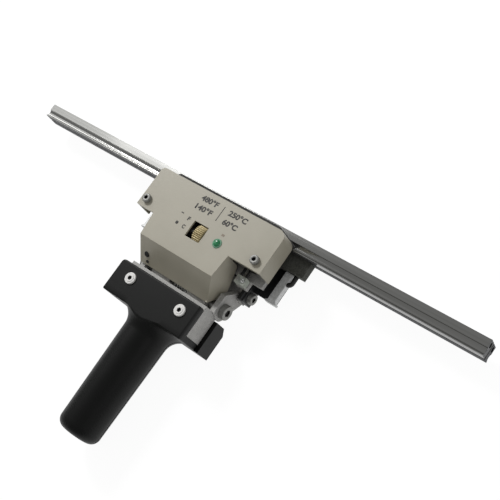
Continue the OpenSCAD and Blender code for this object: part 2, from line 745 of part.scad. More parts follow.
spring_sides = [for (i = [0 : spring_count - 2]) for (k = [0 : 5])
    let (a = 6 * i + k, b = 6 * i + (k + 1) % 6) each [[a, a + 6, b], [b, a + 6, b + 6]]];
spring_ends = concat([for (k = [1 : 4]) [0, k, k + 1]],
    [for (k = [1 : 4]) let (e = 6 * (spring_count - 1)) [e, e + k + 1, e + k]]);
// Least gap of the wire to itself, measured between path points at least five steps apart
spring_self_gap = min([for (i = [0 : spring_count - 1]) for (j = [i + 5 : 1 : spring_count - 1])
    norm(spring_path[i] - spring_path[j])]) - 2 * spring_wire;
echo(spring_self_gap = spring_self_gap);
module return_spring() color("gray") placed() at_hinge()
    polyhedron(points = spring_points, faces = concat(spring_sides, spring_ends));

// Rear jaw bracket behind the housing: beam, shield plate, lying pad and lugs, with its two columns in front
module rear_jaw_bracket() color([0.25, 0.25, 0.25]) placed() {
    difference() {
        union() {
            box([-beam_half, -beam_low, -shield_z1], [beam_half, -insul_low, -beam_front]);
            box([-shield_half, -yoke_up + shield_gap, -shield_z1], [shield_half, -insul_low + shield_up, -shield_z0]);
            both() box([lug_in, -shield_low, -shield_z1], [shield_half, -yoke_up + 1, -shield_z0]);
            box([-pad_half, -pad_low, -jaw_z], [pad_half, -pad_up, -shield_z0 - shield_t / 2]);
            both() box([lug_in, -lug_low, -jaw_z + yoke_lift], [lug_out, -lug_up, -lug_front]);
        }
        mirror([0, 0, 1]) bar_holes(0);
        both() translate([0, -lug_bolt_y, -lug_bolt_z]) rod_x(lug_in - 1, lug_out + 1, lug_bolt_d / 2 + bolt_fit);
        both() translate([0, -lug_bolt_y, -lug_bolt_z]) rod_x(lug_out, far, lug_head_d / 2 + lug_head_gap);
    }
}
module jaw_columns() color([0.72, 0.72, 0.7]) placed() both() {
    box([column_out - column_w, -column_low, -shield_z0], [column_out, -insul_low, -column_front]);
    box([column_out - column_w - column_foot_out, -column_low - column_foot_t, -shield_z0],
        [column_out + column_foot_out, -column_low, -column_front]);
}
module bracket_bolts() color("silver") placed()
    both() translate([0, -lug_bolt_y, -lug_bolt_z]) difference() {
        union() {
            rod_x(lug_in - lug_bolt_in, lug_out + 0.5, lug_bolt_d / 2);
            rod_x(lug_out, lug_out + lug_head_h, lug_head_d / 2);
        }
        translate([lug_out + lug_head_h / 2, 0, 0]) rotate([0, 90, 0])
            cylinder(h = lug_head_h, r = lug_head_d / 4, $fn = 6);
    }
module rear_lead() color("black") placed() {
    translate([rear_lead_x, 0, -rear_lead_z]) rod_y(-insul_low - rear_lead_run, -insul_low, rear_lead_r);
    translate([column_out, -insul_low - rear_lead_run, -rear_lead_z]) rotate([0, 0, -90])
        rotate_extrude(angle = 90) translate([rear_lead_out, 0]) circle(rear_lead_r);
}

// Lever B casting: rear plate in the rear grip, hub on the pin, floor, jaw wall, posts and lugs
module housing_casting() color([0.72, 0.72, 0.7]) placed() {
    difference() {
        union() {
            box([-plate_half, -plate_low, plate_z0], [plate_half, -plate_up, plate_z1]);
            both() at_hinge() rod_x(hub_in, hub_out, eye_r);
            both() along_x(hub_in, hub_out)
                polygon([[-hub_web_y, hub_web_z0], [-hub_web_y, plate_z1], [-hinge_y - 4, plate_z1],
                    [-hinge_y, hinge_z - eye_r]]);
            both() along_x(hub_in, hub_out)
                polygon([[-hinge_y, hinge_z + eye_r], [-floor_low + 2, floor_top], [-floor_low + 2, floor_z],
                    [-hinge_y + 8, hinge_z - 2.9]]);
            box([-floor_half, -floor_low, floor_z], [floor_half, -insul_low, floor_top]);
            box([-floor_half, -wall_low, floor_z], [floor_half, -insul_low, floor_z + jaw_wall_h]);
            both() translate([cover_screw_x, -cover_screw_y, floor_z])
                cylinder(h = post_top - floor_z, r = post_r);
            box([shelf_in, -floor_low - shelf_reach, floor_z], [shelf_out, -floor_low + 1, floor_top]);
        }
        for (x = bolt_xs)
            box([x - notch_half, -wall_low - notch_len, floor_z - 1], [x + notch_half, -wall_low, floor_top + 1]);
        bar_holes(0);
        at_hinge() rod_x(-far / 2, far / 2, pin_d / 2 + pin_run);
        both() translate([back_screw_x, -back_screw_y, plate_z0 - 1])
            cylinder(h = plate_t, r = grip_screw_d / 2 + bolt_fit);
        both() translate([cover_screw_x, -cover_screw_y, post_top - cover_screw_in - 0.5])
            cylinder(h = far, r = cover_screw_d / 2 + bolt_fit);
    }
}

// Sheet cover: wings, middle part with slanted face, right ear
module wing_outline(inset, low) {
    translate([-cover_left + wing_round_left, -low])
        square([cover_left + cover_right - wing_round_left - wing_round, low - cover_top - inset]);
    translate([-cover_left + inset, -low]) square([cover_left - inset, low - cover_top - wing_round_left]);
    translate([0, -low]) square([cover_right - inset, low - cover_top - wing_round]);
    translate([-cover_left + wing_round_left, -cover_top - wing_round_left]) circle(wing_round_left - inset);
    translate([cover_right - wing_round, -cover_top - wing_round]) circle(wing_round - inset);
}
module mid_outline(inset) {
    polygon([[-mid_left + inset, -wing_low + 5], [-mid_left + inset, -wing_low], [-low_left + inset, -slant_y - 4],
        [low_right - inset, -slant_y - 4], [mid_right - inset, -wing_low], [mid_right - inset, -wing_low + 5]]);
}
module mid_side(inset, back) {
    dy = inset * sin(slant_tilt);
    dz = inset * cos(slant_tilt);
    corner = -bend_y + inset * tan(slant_tilt / 2);
    polygon([[-wing_low + 5, cover_z - inset], [corner, cover_z - inset], [-slant_y + dy, slant_z - dz],
        [-slant_y + dy, back], [-wing_low + 5, back]]);
}
module front_cover() color([0.7, 0.69, 0.64]) placed() {
    difference() {
        union() {
            difference() {
                union() {
                    translate([0, 0, wing_back]) linear_extrude(cover_z - wing_back) wing_outline(0, wing_low);
                    intersection() {
                        translate([0, 0, -far / 2]) linear_extrude(far) mid_outline(0);
                        along_x(-far / 2, far / 2) mid_side(0, slant_z);
                    }
                }
                translate([0, 0, wing_back - 1]) linear_extrude(cover_z - sheet - wing_back + 1)
                    wing_outline(sheet, wing_low - sheet);
                translate([0, 0, -far / 2]) linear_extrude(far / 2 + cover_z - sheet - wing_lip)
                    wing_outline(sheet, wing_low + 0.01);
                intersection() {
                    translate([0, 0, -far / 2]) linear_extrude(far) mid_outline(sheet);
                    along_x(-far / 2, far / 2) mid_side(sheet, -far / 2);
                }
            }
            intersection() {
                translate([0, 0, -far / 2]) linear_extrude(far) difference() {
                    mid_outline(0);
                    mid_outline(sheet);
                    translate([-far, -far / 2]) square([far, far]);
                }
                along_x(0, far)
                    polygon([[-wing_low - 1, slant_z + 1], [-slant_y, slant_z + 1], [-slant_y, slant_z],
                        [-slant_y + 3, slant_z - 3], [-ear_y, -ear_z], [-wing_low - 1, slant_z - 1]]);
            }
        }
        box([-window_left, -window_low, cover_z - sheet - 1], [window_right, -window_up, cover_z + 1]);
        translate([lamp_x, -lamp_y, 0]) cylinder(h = far, r = lamp_d / 2 + lamp_fit);
        both() translate([cover_screw_x, -cover_screw_y, post_top - 1]) cylinder(h = far, r = cover_screw_d / 2 + bolt_fit);
        plug_seats(bolt_fit, 4, 4);
    }
}
module plug_seats(fit, out, deep) {
    for (p = [[plug_x1, plug_y1, plug_d1], [plug_x2, plug_y2, plug_d2]])
        translate([p[0], -p[1], slant_z + (slant_y - p[1]) * tan(slant_tilt)]) rotate([slant_tilt, 0, 0])
            translate([0, 0, -deep]) cylinder(h = out + deep, r = p[2] / 2 + fit);
}
module face_plugs() color("black") placed() plug_seats(0, plug_out, sheet);
module cover_screws() color("silver") placed()
    both() translate([cover_screw_x, -cover_screw_y, cover_z]) difference() {
        union() {
            cylinder(h = cover_head_h, r = cover_head_d / 2);
            translate([0, 0, -sheet - cover_screw_in]) cylinder(h = sheet + cover_screw_in + 0.5, r = cover_screw_d / 2);
        }
        translate([0, 0, 1]) cylinder(h = far, r = cover_head_d / 3.6, $fn = 6);
    }

// Black insulating sheet on the front bar, under the back edge of the cover
module heat_sheet() color([0.1, 0.1, 0.1]) placed() translate([0, 0, bar_z1]) linear_extrude(heat_sheet_t)
    difference() {
        rounded(-heat_sheet_left, -bar_down, heat_sheet_right, heat_sheet_up, heat_sheet_round);
        polygon([[heat_sheet_slope, heat_sheet_up], [heat_sheet_right, -heat_sheet_end],
            [heat_sheet_right + 1, -heat_sheet_end], [heat_sheet_right + 1, heat_sheet_up + 1],
            [heat_sheet_slope, heat_sheet_up + 1]]);
    }

// Thermostat with its bracket, thumbwheel and shaft
module thermostat_body() color([0.85, 0.84, 0.8]) placed()
    difference() {
        box([-thermo_left, -foot_y0, foot_top], [-thermo_right, -foot_y1, foot_top + thermo_h]);
        translate([0, -wheel_y, wheel_z]) rod_x(-shaft_left - 0.5, 0, shaft_d / 2 + shaft_run);
    }
module thermostat_bracket() color("gray") placed()
    difference() {
        union() {
            box([-thermo_left, -foot_y0, floor_top], [upright_x + bracket_t, -foot_y1, foot_top]);
            box([-thermo_right, -foot_y0, floor_top], [-thermo_right + bracket_t, -foot_y1, foot_top + thermo_h]);
            box([upright_x, -foot_y0, floor_top], [upright_x + bracket_t, -foot_y1, foot_top + thermo_h]);
        }
        translate([0, -wheel_y, wheel_z]) rod_x(-far, far, shaft_d / 2 + shaft_run);
        box([-wheel_left - 1, -wheel_y - 4, floor_top - 1], [wheel_right + 1, -wheel_y + 4, foot_top + 1]);
    }
module temperature_wheel() color([0.76, 0.68, 0.45]) placed()
    translate([0, -wheel_y, wheel_z]) difference() {
        rod_x(-wheel_left, wheel_right, wheel_r);
        rod_x(-far, far, shaft_d / 2 + wheel_fit);
        for (i = [0 : wheel_ribs - 1])
            rotate([360 / wheel_ribs * i, 0, 0]) translate([-wheel_left - 1, -wheel_groove, wheel_r - wheel_groove])
                cube([wheel_w + 2, 2 * wheel_groove, 2]);
    }
module wheel_shaft() color("silver") placed()
    translate([0, -wheel_y, wheel_z]) rod_x(-shaft_left, shaft_right, shaft_d / 2);

// Lamp
module lamp_lens() color([0.2, 0.6, 0.4]) placed() translate([lamp_x, -lamp_y, cover_z]) {
    dome_r = (lamp_d * lamp_d / 4 + lamp_dome * lamp_dome) / (2 * lamp_dome);
    translate([0, 0, -lamp_stem]) cylinder(h = lamp_stem + lamp_rim_t, r = lamp_d / 2);
    cylinder(h = lamp_rim_t, r = lamp_rim_d / 2);
    intersection() {
        translate([0, 0, lamp_rim_t + lamp_dome - dome_r]) sphere(dome_r);
        translate([0, 0, lamp_rim_t - 0.2]) cylinder(h = lamp_dome + 1, r = lamp_d / 2);
    }
}
module lamp_holder() color([0.8, 0.8, 0.78]) placed() translate([lamp_x, -lamp_y, post_top - lamp_holder_len])
    difference() {
        cylinder(h = lamp_holder_len, r = lamp_holder_d / 2);
        translate([0, 0, lamp_holder_len + sheet - lamp_stem - 0.2]) cylinder(h = far, r = lamp_d / 2 + lamp_fit);
    }

// Terminal block with its screws and front leads
module terminal_block() color([0.86, 0.9, 0.86]) placed()
    difference() {
        box([shelf_in + block_in, -block_y0, floor_top], [shelf_out - block_in, -floor_low, block_top]);
        terminal_axes() translate([0, 0, -term_in - 0.3]) cylinder(h = far, r = term_d / 2 + bolt_fit);
    }
module terminal_axes() for (s = [-1, 1])
    translate([block_mid + s * term_pitch / 2, -(block_y0 + floor_low) / 2, block_top]) children();
module terminal_screws() color("silver") placed() terminal_axes() difference() {
    union() {
        cylinder(h = term_head_h, r = term_head_d / 2);
        translate([0, 0, -term_in]) cylinder(h = term_in + 0.5, r = term_d / 2);
    }
    translate([-term_head_d, -0.35, term_head_h / 2]) cube([2 * term_head_d, 0.7, term_head_h]);
}
module front_leads() color("black") placed() {
    for (s = [-1, 1])
        translate([block_mid + s * term_pitch / 2, -insul_low + 4, lead_z]) {
            rod_y(-floor_low + insul_low - 4, 0, lead_r);
            translate([0, 0, -lead_bend]) rotate([0, -90, 0]) rotate_extrude(angle = 90)
                translate([lead_bend, 0]) circle(lead_r);
        }
}

front_grip();
front_grip_washers();
front_grip_screws();
grip_buffers();
inlet_grommet();
main_casting();
hinge_pin();
hinge_nuts();
return_spring();
rear_jaw_bracket();
jaw_columns();
bracket_bolts();
rear_insulator();
rear_bar();
rear_bar_bolts();
rear_heater();
rear_seal_strip();
rear_lead();
rear_grip();
rear_grip_screws();
housing_casting();
front_cover();
heat_sheet();
cover_screws();
front_insulator();
front_bar();
front_bar_bolts();
front_heater();
front_seal_strip();
thermostat_body();
thermostat_bracket();
lamp_lens();
lamp_holder();
terminal_block();
terminal_screws();
front_leads();
face_plugs();
temperature_wheel();
wheel_shaft();
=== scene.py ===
import json
import math

import bmesh
import bpy
import numpy as np
from mathutils import Matrix

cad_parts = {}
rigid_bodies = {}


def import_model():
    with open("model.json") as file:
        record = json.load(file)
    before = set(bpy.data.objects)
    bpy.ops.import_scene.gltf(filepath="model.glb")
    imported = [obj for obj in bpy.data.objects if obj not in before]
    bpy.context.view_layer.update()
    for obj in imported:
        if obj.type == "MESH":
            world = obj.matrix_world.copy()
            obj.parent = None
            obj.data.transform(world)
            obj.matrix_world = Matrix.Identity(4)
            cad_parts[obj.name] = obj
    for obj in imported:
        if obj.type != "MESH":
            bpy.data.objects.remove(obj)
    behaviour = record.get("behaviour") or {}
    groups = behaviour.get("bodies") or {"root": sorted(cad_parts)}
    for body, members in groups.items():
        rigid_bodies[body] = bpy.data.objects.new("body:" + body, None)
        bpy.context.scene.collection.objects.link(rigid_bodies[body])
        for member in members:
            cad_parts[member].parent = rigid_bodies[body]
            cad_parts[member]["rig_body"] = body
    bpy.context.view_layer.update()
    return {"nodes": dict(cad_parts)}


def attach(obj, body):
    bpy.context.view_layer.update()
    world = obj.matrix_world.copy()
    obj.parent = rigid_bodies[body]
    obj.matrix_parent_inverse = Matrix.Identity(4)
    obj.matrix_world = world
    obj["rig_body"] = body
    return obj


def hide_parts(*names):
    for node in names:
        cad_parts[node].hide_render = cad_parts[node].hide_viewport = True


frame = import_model()


# Main casting of the root lever: tongue, two cheeks with the hinge pin and the yoke behind the housing.
# Sand-cast aluminium in one piece; its skin is blasted and left bare, with dressed edges.
MERGE_M = 2e-6
FLAT_DEG, CORNER_DEG, EDGE_STEPS, FACE_WEIGHT = 0.5, 35, 3, 100


def linear(hex_colour):
    """sRGB hex to linear RGBA: c / 12.92 up to 0.04045, above it ((c + 0.055) / 1.055) to the power 2.4."""
    c = np.array([int(hex_colour[i:i + 2], 16) for i in (1, 3, 5)]) / 255
    rgb = np.where(c <= 0.04045, c / 12.92, ((c + 0.055) / 1.055) ** 2.4)
    return (*rgb.tolist(), 1.0)


def add(material, kind, sockets, **settings):
    """Adds one node: settings are its properties, sockets its inputs, each a value or an output to link."""
    node = material.node_tree.nodes.new(kind)
    for name, value in settings.items():
        setattr(node, name, value)
    for name, value in sockets.items():
        if isinstance(value, bpy.types.NodeSocket):
            material.node_tree.links.new(value, node.inputs[name])
        else:
            node.inputs[name].default_value = value
    return node


def bare_material(name):
    """A material with an empty node tree and its Object coordinates, in metres."""
    material = bpy.data.materials.new(name)
    material.use_nodes = True
    material.node_tree.nodes.clear()
    return material, add(material, "ShaderNodeTexCoord", {}).outputs["Object"]


def softened(node, material, edge_mm):
    """A copy of a solid: doubles merged, flat faces joined, corners over CORNER_DEG rounded to edge_mm."""
    source = frame["nodes"][node]
    shape = bmesh.new()
    shape.from_mesh(source.data)
    bmesh.ops.remove_doubles(shape, verts=shape.verts, dist=MERGE_M)
    bmesh.ops.dissolve_limit(shape, angle_limit=math.radians(FLAT_DEG), verts=shape.verts, edges=shape.edges)
    mesh = bpy.data.meshes.new(node + "_skin")
    shape.to_mesh(mesh)
    shape.free()
    mesh.shade_smooth()
    mesh.materials.append(material)
    piece = bpy.data.objects.new(node + "_skin", mesh)
    bpy.context.scene.collection.objects.link(piece)
    edges = piece.modifiers.new("rounded_edges", "BEVEL")
    edges.width = edge_mm / 1000
    edges.segments = EDGE_STEPS
    edges.limit_method = "ANGLE"
    edges.angle_limit = math.radians(CORNER_DEG)
    edges.miter_outer = "MITER_ARC"
    normals = piece.modifiers.new("flat_faces", "WEIGHTED_NORMAL")
    normals.weight = FACE_WEIGHT
    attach(piece, source["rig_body"])
    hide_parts(node)


# Blasted cast aluminium: a matt light grey whose 0.8 mm grit shows as soft specks, over wider stains.
# The four numbers are the sockets of a colour mix: its share, its two colours and what comes out.
GRIT, STAIN = 0.0008, 0.014
MIX_SHARE, MIX_A, MIX_B, MIX_OUT = 0, 6, 7, 2
cast_aluminium, place = bare_material("blasted_cast_aluminium")
grit = add(cast_aluminium, "ShaderNodeTexNoise",
           {"Vector": place, "Scale": 1 / GRIT, "Detail": 4.0, "Roughness": 0.7})
stain = add(cast_aluminium, "ShaderNodeTexNoise", {"Vector": place, "Scale": 1 / STAIN, "Detail": 3.0})
specks = add(cast_aluminium, "ShaderNodeMapRange",
             {"Value": grit.outputs["Fac"], "From Min": 0.33, "From Max": 0.68})
clouds = add(cast_aluminium, "ShaderNodeMapRange",
             {"Value": stain.outputs["Fac"], "From Min": 0.35, "From Max": 0.7})
light = add(cast_aluminium, "ShaderNodeMix",
            {MIX_SHARE: clouds.outputs["Result"], MIX_A: linear("#bcbbb8"), MIX_B: linear("#d2d1ce")},
            data_type="RGBA")
tone = add(cast_aluminium, "ShaderNodeMix",
           {MIX_SHARE: specks.outputs["Result"], MIX_A: linear("#9f9e9b"), MIX_B: light.outputs[MIX_OUT]},
           data_type="RGBA")
bump = add(cast_aluminium, "ShaderNodeBump",
           {"Height": grit.outputs["Fac"], "Strength": 0.4, "Distance": 0.0002})
skin = add(cast_aluminium, "ShaderNodeBsdfPrincipled",
           {"Base Color": tone.outputs[MIX_OUT], "Metallic": 0.35, "Roughness": 0.62,
            "Normal": bump.outputs["Normal"]})
add(cast_aluminium, "ShaderNodeOutputMaterial", {"Surface": skin.outputs["BSDF"]})
softened("main_casting", cast_aluminium, edge_mm=0.6)


# Hinge pin with a socket nut on each end: turned steel, zinc plated, a little dulled by handling.
# The nuts clamp on the cheeks, and their hexagon sockets are painted nearly black inside: painted shade.
JAW_LINE = np.array([0.0, 94.8, 19.1])
SMOOTH_DEG = 38
X_AXIS, Y_AXIS, Z_AXIS = np.eye(3)


def mottled(name, dark, light, grain_mm, rough, relief_mm, **sockets):
    """A finish whose tone, gloss and relief follow one noise of the grain's size: dark to light, rough[0] to
    rough[1], relief_mm high. Further sockets of the skin are set by name."""
    material, place = bare_material(name)
    noise = add(material, "ShaderNodeTexNoise",
                {"Vector": place, "Scale": 1000 / grain_mm, "Detail": 5.0, "Roughness": 0.6})
    spread = add(material, "ShaderNodeMapRange",
                 {"Value": noise.outputs["Fac"], "From Min": 0.32, "From Max": 0.68})
    tone = add(material, "ShaderNodeMix",
               {MIX_SHARE: spread.outputs["Result"], MIX_A: linear(dark), MIX_B: linear(light)},
               data_type="RGBA")
    gloss = add(material, "ShaderNodeMapRange",
                {"Value": spread.outputs["Result"], "To Min": rough[0], "To Max": rough[1]})
    bump = add(material, "ShaderNodeBump",
               {"Height": noise.outputs["Fac"], "Strength": 0.6, "Distance": relief_mm / 1000})
    skin = add(material, "ShaderNodeBsdfPrincipled",
               {"Base Color": tone.outputs[MIX_OUT], "Roughness": gloss.outputs["Result"],
                "Normal": bump.outputs["Normal"], **sockets})
    add(material, "ShaderNodeOutputMaterial", {"Surface": skin.outputs["BSDF"]})
    return material


def surface(name, grids, material, body, slot, *nodes, inner=None):
    """One piece from grids (rows, around, xyz in mm about the jaw line): quads between rows, and a fan at
    both ends unless the last row meets the first. Each grid is turned so that its signed volume is positive
    and its faces point outwards. inner = (material, row) gives the rows from that one on a second finish."""
    points, faces, kinds = [], [], []
    for grid in grids:
        ring = np.allclose(grid[0], grid[-1])
        own = grid[:-1] if ring else grid
        rows, around = own.shape[:2]
        ids = np.arange(rows * around).reshape(rows, around)
        lower, upper = (ids, np.roll(ids, -1, axis=0)) if ring else (ids[:-1], ids[1:])
        quads = np.stack([lower, np.roll(lower, -1, axis=1), np.roll(upper, -1, axis=1), upper], axis=-1)
        quads = quads.reshape(-1, 4)
        corners = np.concatenate([quads[:, [0, 1, 2]], quads[:, [0, 2, 3]]])
        fans = np.zeros((0, 3), int)
        own = own.reshape(-1, 3)
        if not ring:
            low, high = ids[0], ids[-1]
            fans = np.concatenate([
                np.stack([np.roll(low, -1), low, np.full(around, len(own))], axis=-1),
                np.stack([high, np.roll(high, -1), np.full(around, len(own) + 1)], axis=-1)])
            own = np.concatenate([own, grid[[0, -1]].mean(axis=1)])
            corners = np.concatenate([corners, fans])
        a, b, c = own[corners[:, 0]], own[corners[:, 1]], own[corners[:, 2]]
        turn = 1 if np.einsum("ij,ij->", a, np.cross(b, c)) > 0 else -1
        base = sum(len(p) for p in points)
        points.append(own)
        faces += (base + quads[:, ::turn]).tolist() + (base + fans[:, ::turn]).tolist()
        kind = np.zeros(len(quads) + len(fans), np.int32)
        if inner:
            kind[inner[1] * around:len(quads)] = 1
            kind[len(quads) + around:] = 1
        kinds.append(kind)
    mesh = bpy.data.meshes.new(name)
    mesh.from_pydata(((np.concatenate(points) + JAW_LINE) / 1000).tolist(), [], faces)
    mesh.materials.append(material)
    if inner:
        mesh.materials.append(inner[0])
        mesh.polygons.foreach_set("material_index", np.concatenate(kinds))
    shape = bmesh.new()
    shape.from_mesh(mesh)
    bmesh.ops.remove_doubles(shape, verts=shape.verts, dist=MERGE_M)
    shape.to_mesh(mesh)
    shape.free()
    mesh.shade_smooth()
    mesh.set_sharp_from_angle(angle=math.radians(SMOOTH_DEG))
    piece = bpy.data.objects.new(name, mesh)
    bpy.context.scene.collection.objects.link(piece)
    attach(piece, body)
    if nodes:
        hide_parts(*nodes)


def turned(profile, centre, axis, sides=48):
    """A turned shape: each profile row (radius, height, facets) is a ring about the axis at that height over
    the centre. Facets 1 makes the row a hexagon of that corner radius, for a socket in a round head."""
    radius, height, facets = np.array(profile, float).T
    w = np.asarray(axis, float)
    u = np.roll(w, 1)
    v = np.cross(w, u)
    a = np.linspace(0, 2 * np.pi, sides, endpoint=False)
    hexagon = math.cos(math.pi / 6) / np.cos(a % (np.pi / 3) - np.pi / 6)
    reach = radius[:, None] * np.where(facets[:, None] > 0, hexagon, 1.0)
    ring = reach[..., None] * (np.cos(a)[:, None] * u + np.sin(a)[:, None] * v)
    return np.asarray(centre) + ring + height[:, None, None] * w


# Zinc plate: a bright grey metal, clouded over a few millimetres; dulled, it is greyer and half matt.
# Painted shade for the insides of the sockets: nearly black, with a dull gleam.
zinc_steel = mottled("zinc_plated_steel", "#9c9d9c", "#cfd0cd",
                     grain_mm=4.0, rough=(0.28, 0.5), relief_mm=0.01, Metallic=1.0)
socket_shade = mottled("painted_socket_shade", "#0c0c0c", "#1b1a19",
                      grain_mm=1.5, rough=(0.4, 0.65), relief_mm=0.02)
dull_steel = mottled("dulled_zinc_steel", "#7b7b78", "#a6a6a2",
                     grain_mm=2.5, rough=(0.4, 0.6), relief_mm=0.02, Metallic=0.5)
HINGE = np.array([0.0, -66.5, -2.0])
NUT_X, SOCKET_ROW = 38.4, 7
NUT = [(4.02, 2.0, 0), (4.02, 0, 0), (5.6, 0, 0), (5.6, 3.7, 0), (5.4, 4.2, 0), (4.9, 4.4, 0), (3.2, 4.4, 0),
       (2.9, 4.1, 1), (2.9, 2.8, 1)]
nuts = [turned(NUT, HINGE + side * NUT_X * X_AXIS, side * X_AXIS) for side in (-1, 1)]
surface("hinge_socket_nuts", nuts, dull_steel, "lever_a", "bright_steel", "hinge_nuts",
        inner=(socket_shade, SOCKET_ROW))
softened("hinge_pin", zinc_steel, edge_mm=0.4)


# Return spring: a torsion coil of 1.4 mm spring wire round the pin, one leg in the tongue.
# It opens the jaws when the grip is let go.
COIL_R, WIRE_R, CURLS, CURL_STEPS, PITCH = 6.0, 0.7, 5, 24, 2.3
STUB_LEN, LEG_LEN, LEG_START = 4.0, 7.0, 0.3


def tube(path, radius, across, sides=16):
    """Round wire: a circle carried along the path and square to it, whose first axis is across x along."""
    along = np.gradient(path, axis=0)
    along /= np.linalg.norm(along, axis=1, keepdims=True)
    u = np.cross(across, along)
    u /= np.linalg.norm(u, axis=1, keepdims=True)
    w = np.cross(along, u)
    a = np.linspace(0, 2 * np.pi, sides, endpoint=False)[None, :, None]
    return path[:, None] + radius * (np.cos(a) * u[:, None] + np.sin(a) * w[:, None])


turns = np.linspace(0, CURLS + 0.5, CURL_STEPS * CURLS + CURL_STEPS // 2)
angle = 2 * np.pi * turns - np.pi / 2
coil = np.stack([(turns - CURLS / 2) * PITCH, COIL_R * np.cos(angle), COIL_R * np.sin(angle)], axis=-1)
stub = coil[0] - Y_AXIS * np.linspace(STUB_LEN, LEG_START, 6)[:, None]
leg = coil[-1] - Y_AXIS * np.linspace(LEG_START, LEG_LEN, 8)[:, None]
wire = HINGE + np.concatenate([stub, coil, leg])
surface("return_spring_wire", [tube(wire, WIRE_R, X_AXIS)], zinc_steel, "lever_a", "bright_steel",
        "return_spring")


# Front grip half: black glass-filled nylon, moulded with a T flange over the tongue and a round handle.
# The handle flares out into the flange and is cut flat by the flange face; the halves part at the seam.
# A blind hole in its end takes the cord's bush.
GRIP_Z, GRIP_R1, GRIP_R2, GRIP_END, END_ROUND = 2.4, 17.6, 16.4, 195.0, 7.0
FLARE_R, FLARE_LEN = 12.6, 11.5
STRAIGHT_FROM, STRAIGHT_TO = 16.0, 85.0
FLANGE_LEFT, FLANGE_RIGHT, FLANGE_TOP, FLANGE_LOW, FLANGE_Z = 41.5, 37.5, 74.6, 101.0, 23.4
SLOT_Z, WEB_TOP, SEAM_Z = 17.0, 96.2, -1.8
PLATE_MIDDLE, HANDLE_MIDDLE = 20.2, 10.0
MOULD_EDGE, LEAST_EDGE, CORNER_ROUND = 1.1, 0.2, 3.0
FLANGE_BLEND, HANDLE_BLEND = 0.5, 0.8
CORD_Z, CORD_HOLE_R, CORD_HOLE_END, CORD_HOLE_EDGE = 5.5, 4.62, 165.0, 0.3
FAR, NO_ZERO = 400.0, 1e-9
PLATE_STEPS, INSIDE = 91, 0.999


def box_reach(ray, origin, low, high):
    """How far a ray from the origin runs before it leaves a box for good; minus one where it misses."""
    t = np.sort(np.stack([(low - origin) / ray, (high - origin) / ray]), axis=0)
    enter, leave = t[0].max(axis=-1), t[1].min(axis=-1)
    return np.where(leave > np.maximum(enter, 0), leave, -1.0)


def circle_reach(ray, origin, centre, radius):
    """How far a ray from the origin runs before it leaves a circle for good; minus one where it misses."""
    offset = np.asarray(origin) - centre
    b = ray @ offset
    inside = b * b - offset @ offset + radius * radius
    return np.where(inside > 0, -b + np.sqrt(np.maximum(inside, 0)), -1.0)


def block_reach(ray, origin, left, right, low, high, corner, inset):
    """Reach of a rectangle with rounded corners: the furthest of two crossed boxes and four circles."""
    x0, x1, z0, z1 = inset - left, right - inset, low + inset, high - inset
    r = max(corner - inset, LEAST_EDGE)
    reach = np.maximum(box_reach(ray, origin, np.array([x0, z0 + r]), np.array([x1, z1 - r])),
                       box_reach(ray, origin, np.array([x0 + r, z0]), np.array([x1 - r, z1])))
    for cx in (x0 + r, x1 - r):
        for cz in (z0 + r, z1 - r):
            reach = np.maximum(reach, circle_reach(ray, origin, np.array([cx, cz]), r))
    return reach


def soft_least(a, b, blend):
    """The lesser of two lengths, with the corner between them rounded over the blend length."""
    share = np.clip(0.5 + 0.5 * (b - a) / blend, 0, 1)
    return b + (a - b) * share - blend * share * (1 - share)


def handle_radius(v):
    """Radius of the handle v mm below the flange: a flare arc, a slight taper, then the rounded end."""
    body = GRIP_END - FLANGE_LOW
    if v < FLARE_LEN:
        return GRIP_R1 + FLARE_R - math.sqrt(max(FLARE_R ** 2 - (FLARE_LEN - v) ** 2, 0))
    if v < body - END_ROUND:
        return GRIP_R1 + (GRIP_R2 - GRIP_R1) * (v - FLARE_LEN) / (body - END_ROUND - FLARE_LEN)
    return GRIP_R2 - END_ROUND + math.sqrt(max(END_ROUND ** 2 - (v - body + END_ROUND) ** 2, 0))


def handle_reach(ray, origin, v, low, high, blend):
    """Reach of the handle's circle, cut by the planes z = low and z = high with softened edges."""
    round_part = circle_reach(ray, origin, np.array([0.0, GRIP_Z]), handle_radius(v))
    flats = box_reach(ray, origin, np.array([-FAR, low]), np.array([FAR, high]))
    return soft_least(round_part, flats, blend)


def grip_grid(rays, rows):
    """Stacks section rings: each row is (y, height of the section's middle, reach along every ray)."""
    rings = [np.stack([rays[:, 0] * reach, np.full(len(rays), y), z + rays[:, 1] * reach], axis=-1)
             for y, z, reach in rows]
    return np.stack(rings)


# The rays from a section's middle go to evenly spaced points of face, slot and seam, and all round.
edge_turn = np.radians(np.linspace(0, 90, 6))
end_turn = np.linspace(0.1, np.pi / 2, 10)
handle_steps = np.concatenate([np.linspace(0, FLARE_LEN, 22), np.linspace(STRAIGHT_FROM, STRAIGHT_TO, 18),
                               GRIP_END - FLANGE_LOW - END_ROUND * (1 - np.sin(end_turn))])
plate_x = np.linspace(-FLANGE_LEFT, FLANGE_RIGHT, PLATE_STEPS)
plate_rays = np.concatenate([
    np.stack([plate_x * share, np.full(PLATE_STEPS, z - PLATE_MIDDLE)], axis=-1)
    for z, share in ((FLANGE_Z, 1.0), (SLOT_Z, 1.0), (SEAM_Z, INSIDE))])
turn_rays = np.radians(np.linspace(0.7, 358.7, 180))
headings = np.unique(np.round(np.concatenate([np.arctan2(plate_rays[:, 1], plate_rays[:, 0]) % (2 * np.pi),
                                              turn_rays]), 4))
front_rays = np.stack([np.cos(headings), np.sin(headings)], axis=-1) + NO_ZERO
front_rows = []
plate_at = np.array([0.0, PLATE_MIDDLE])
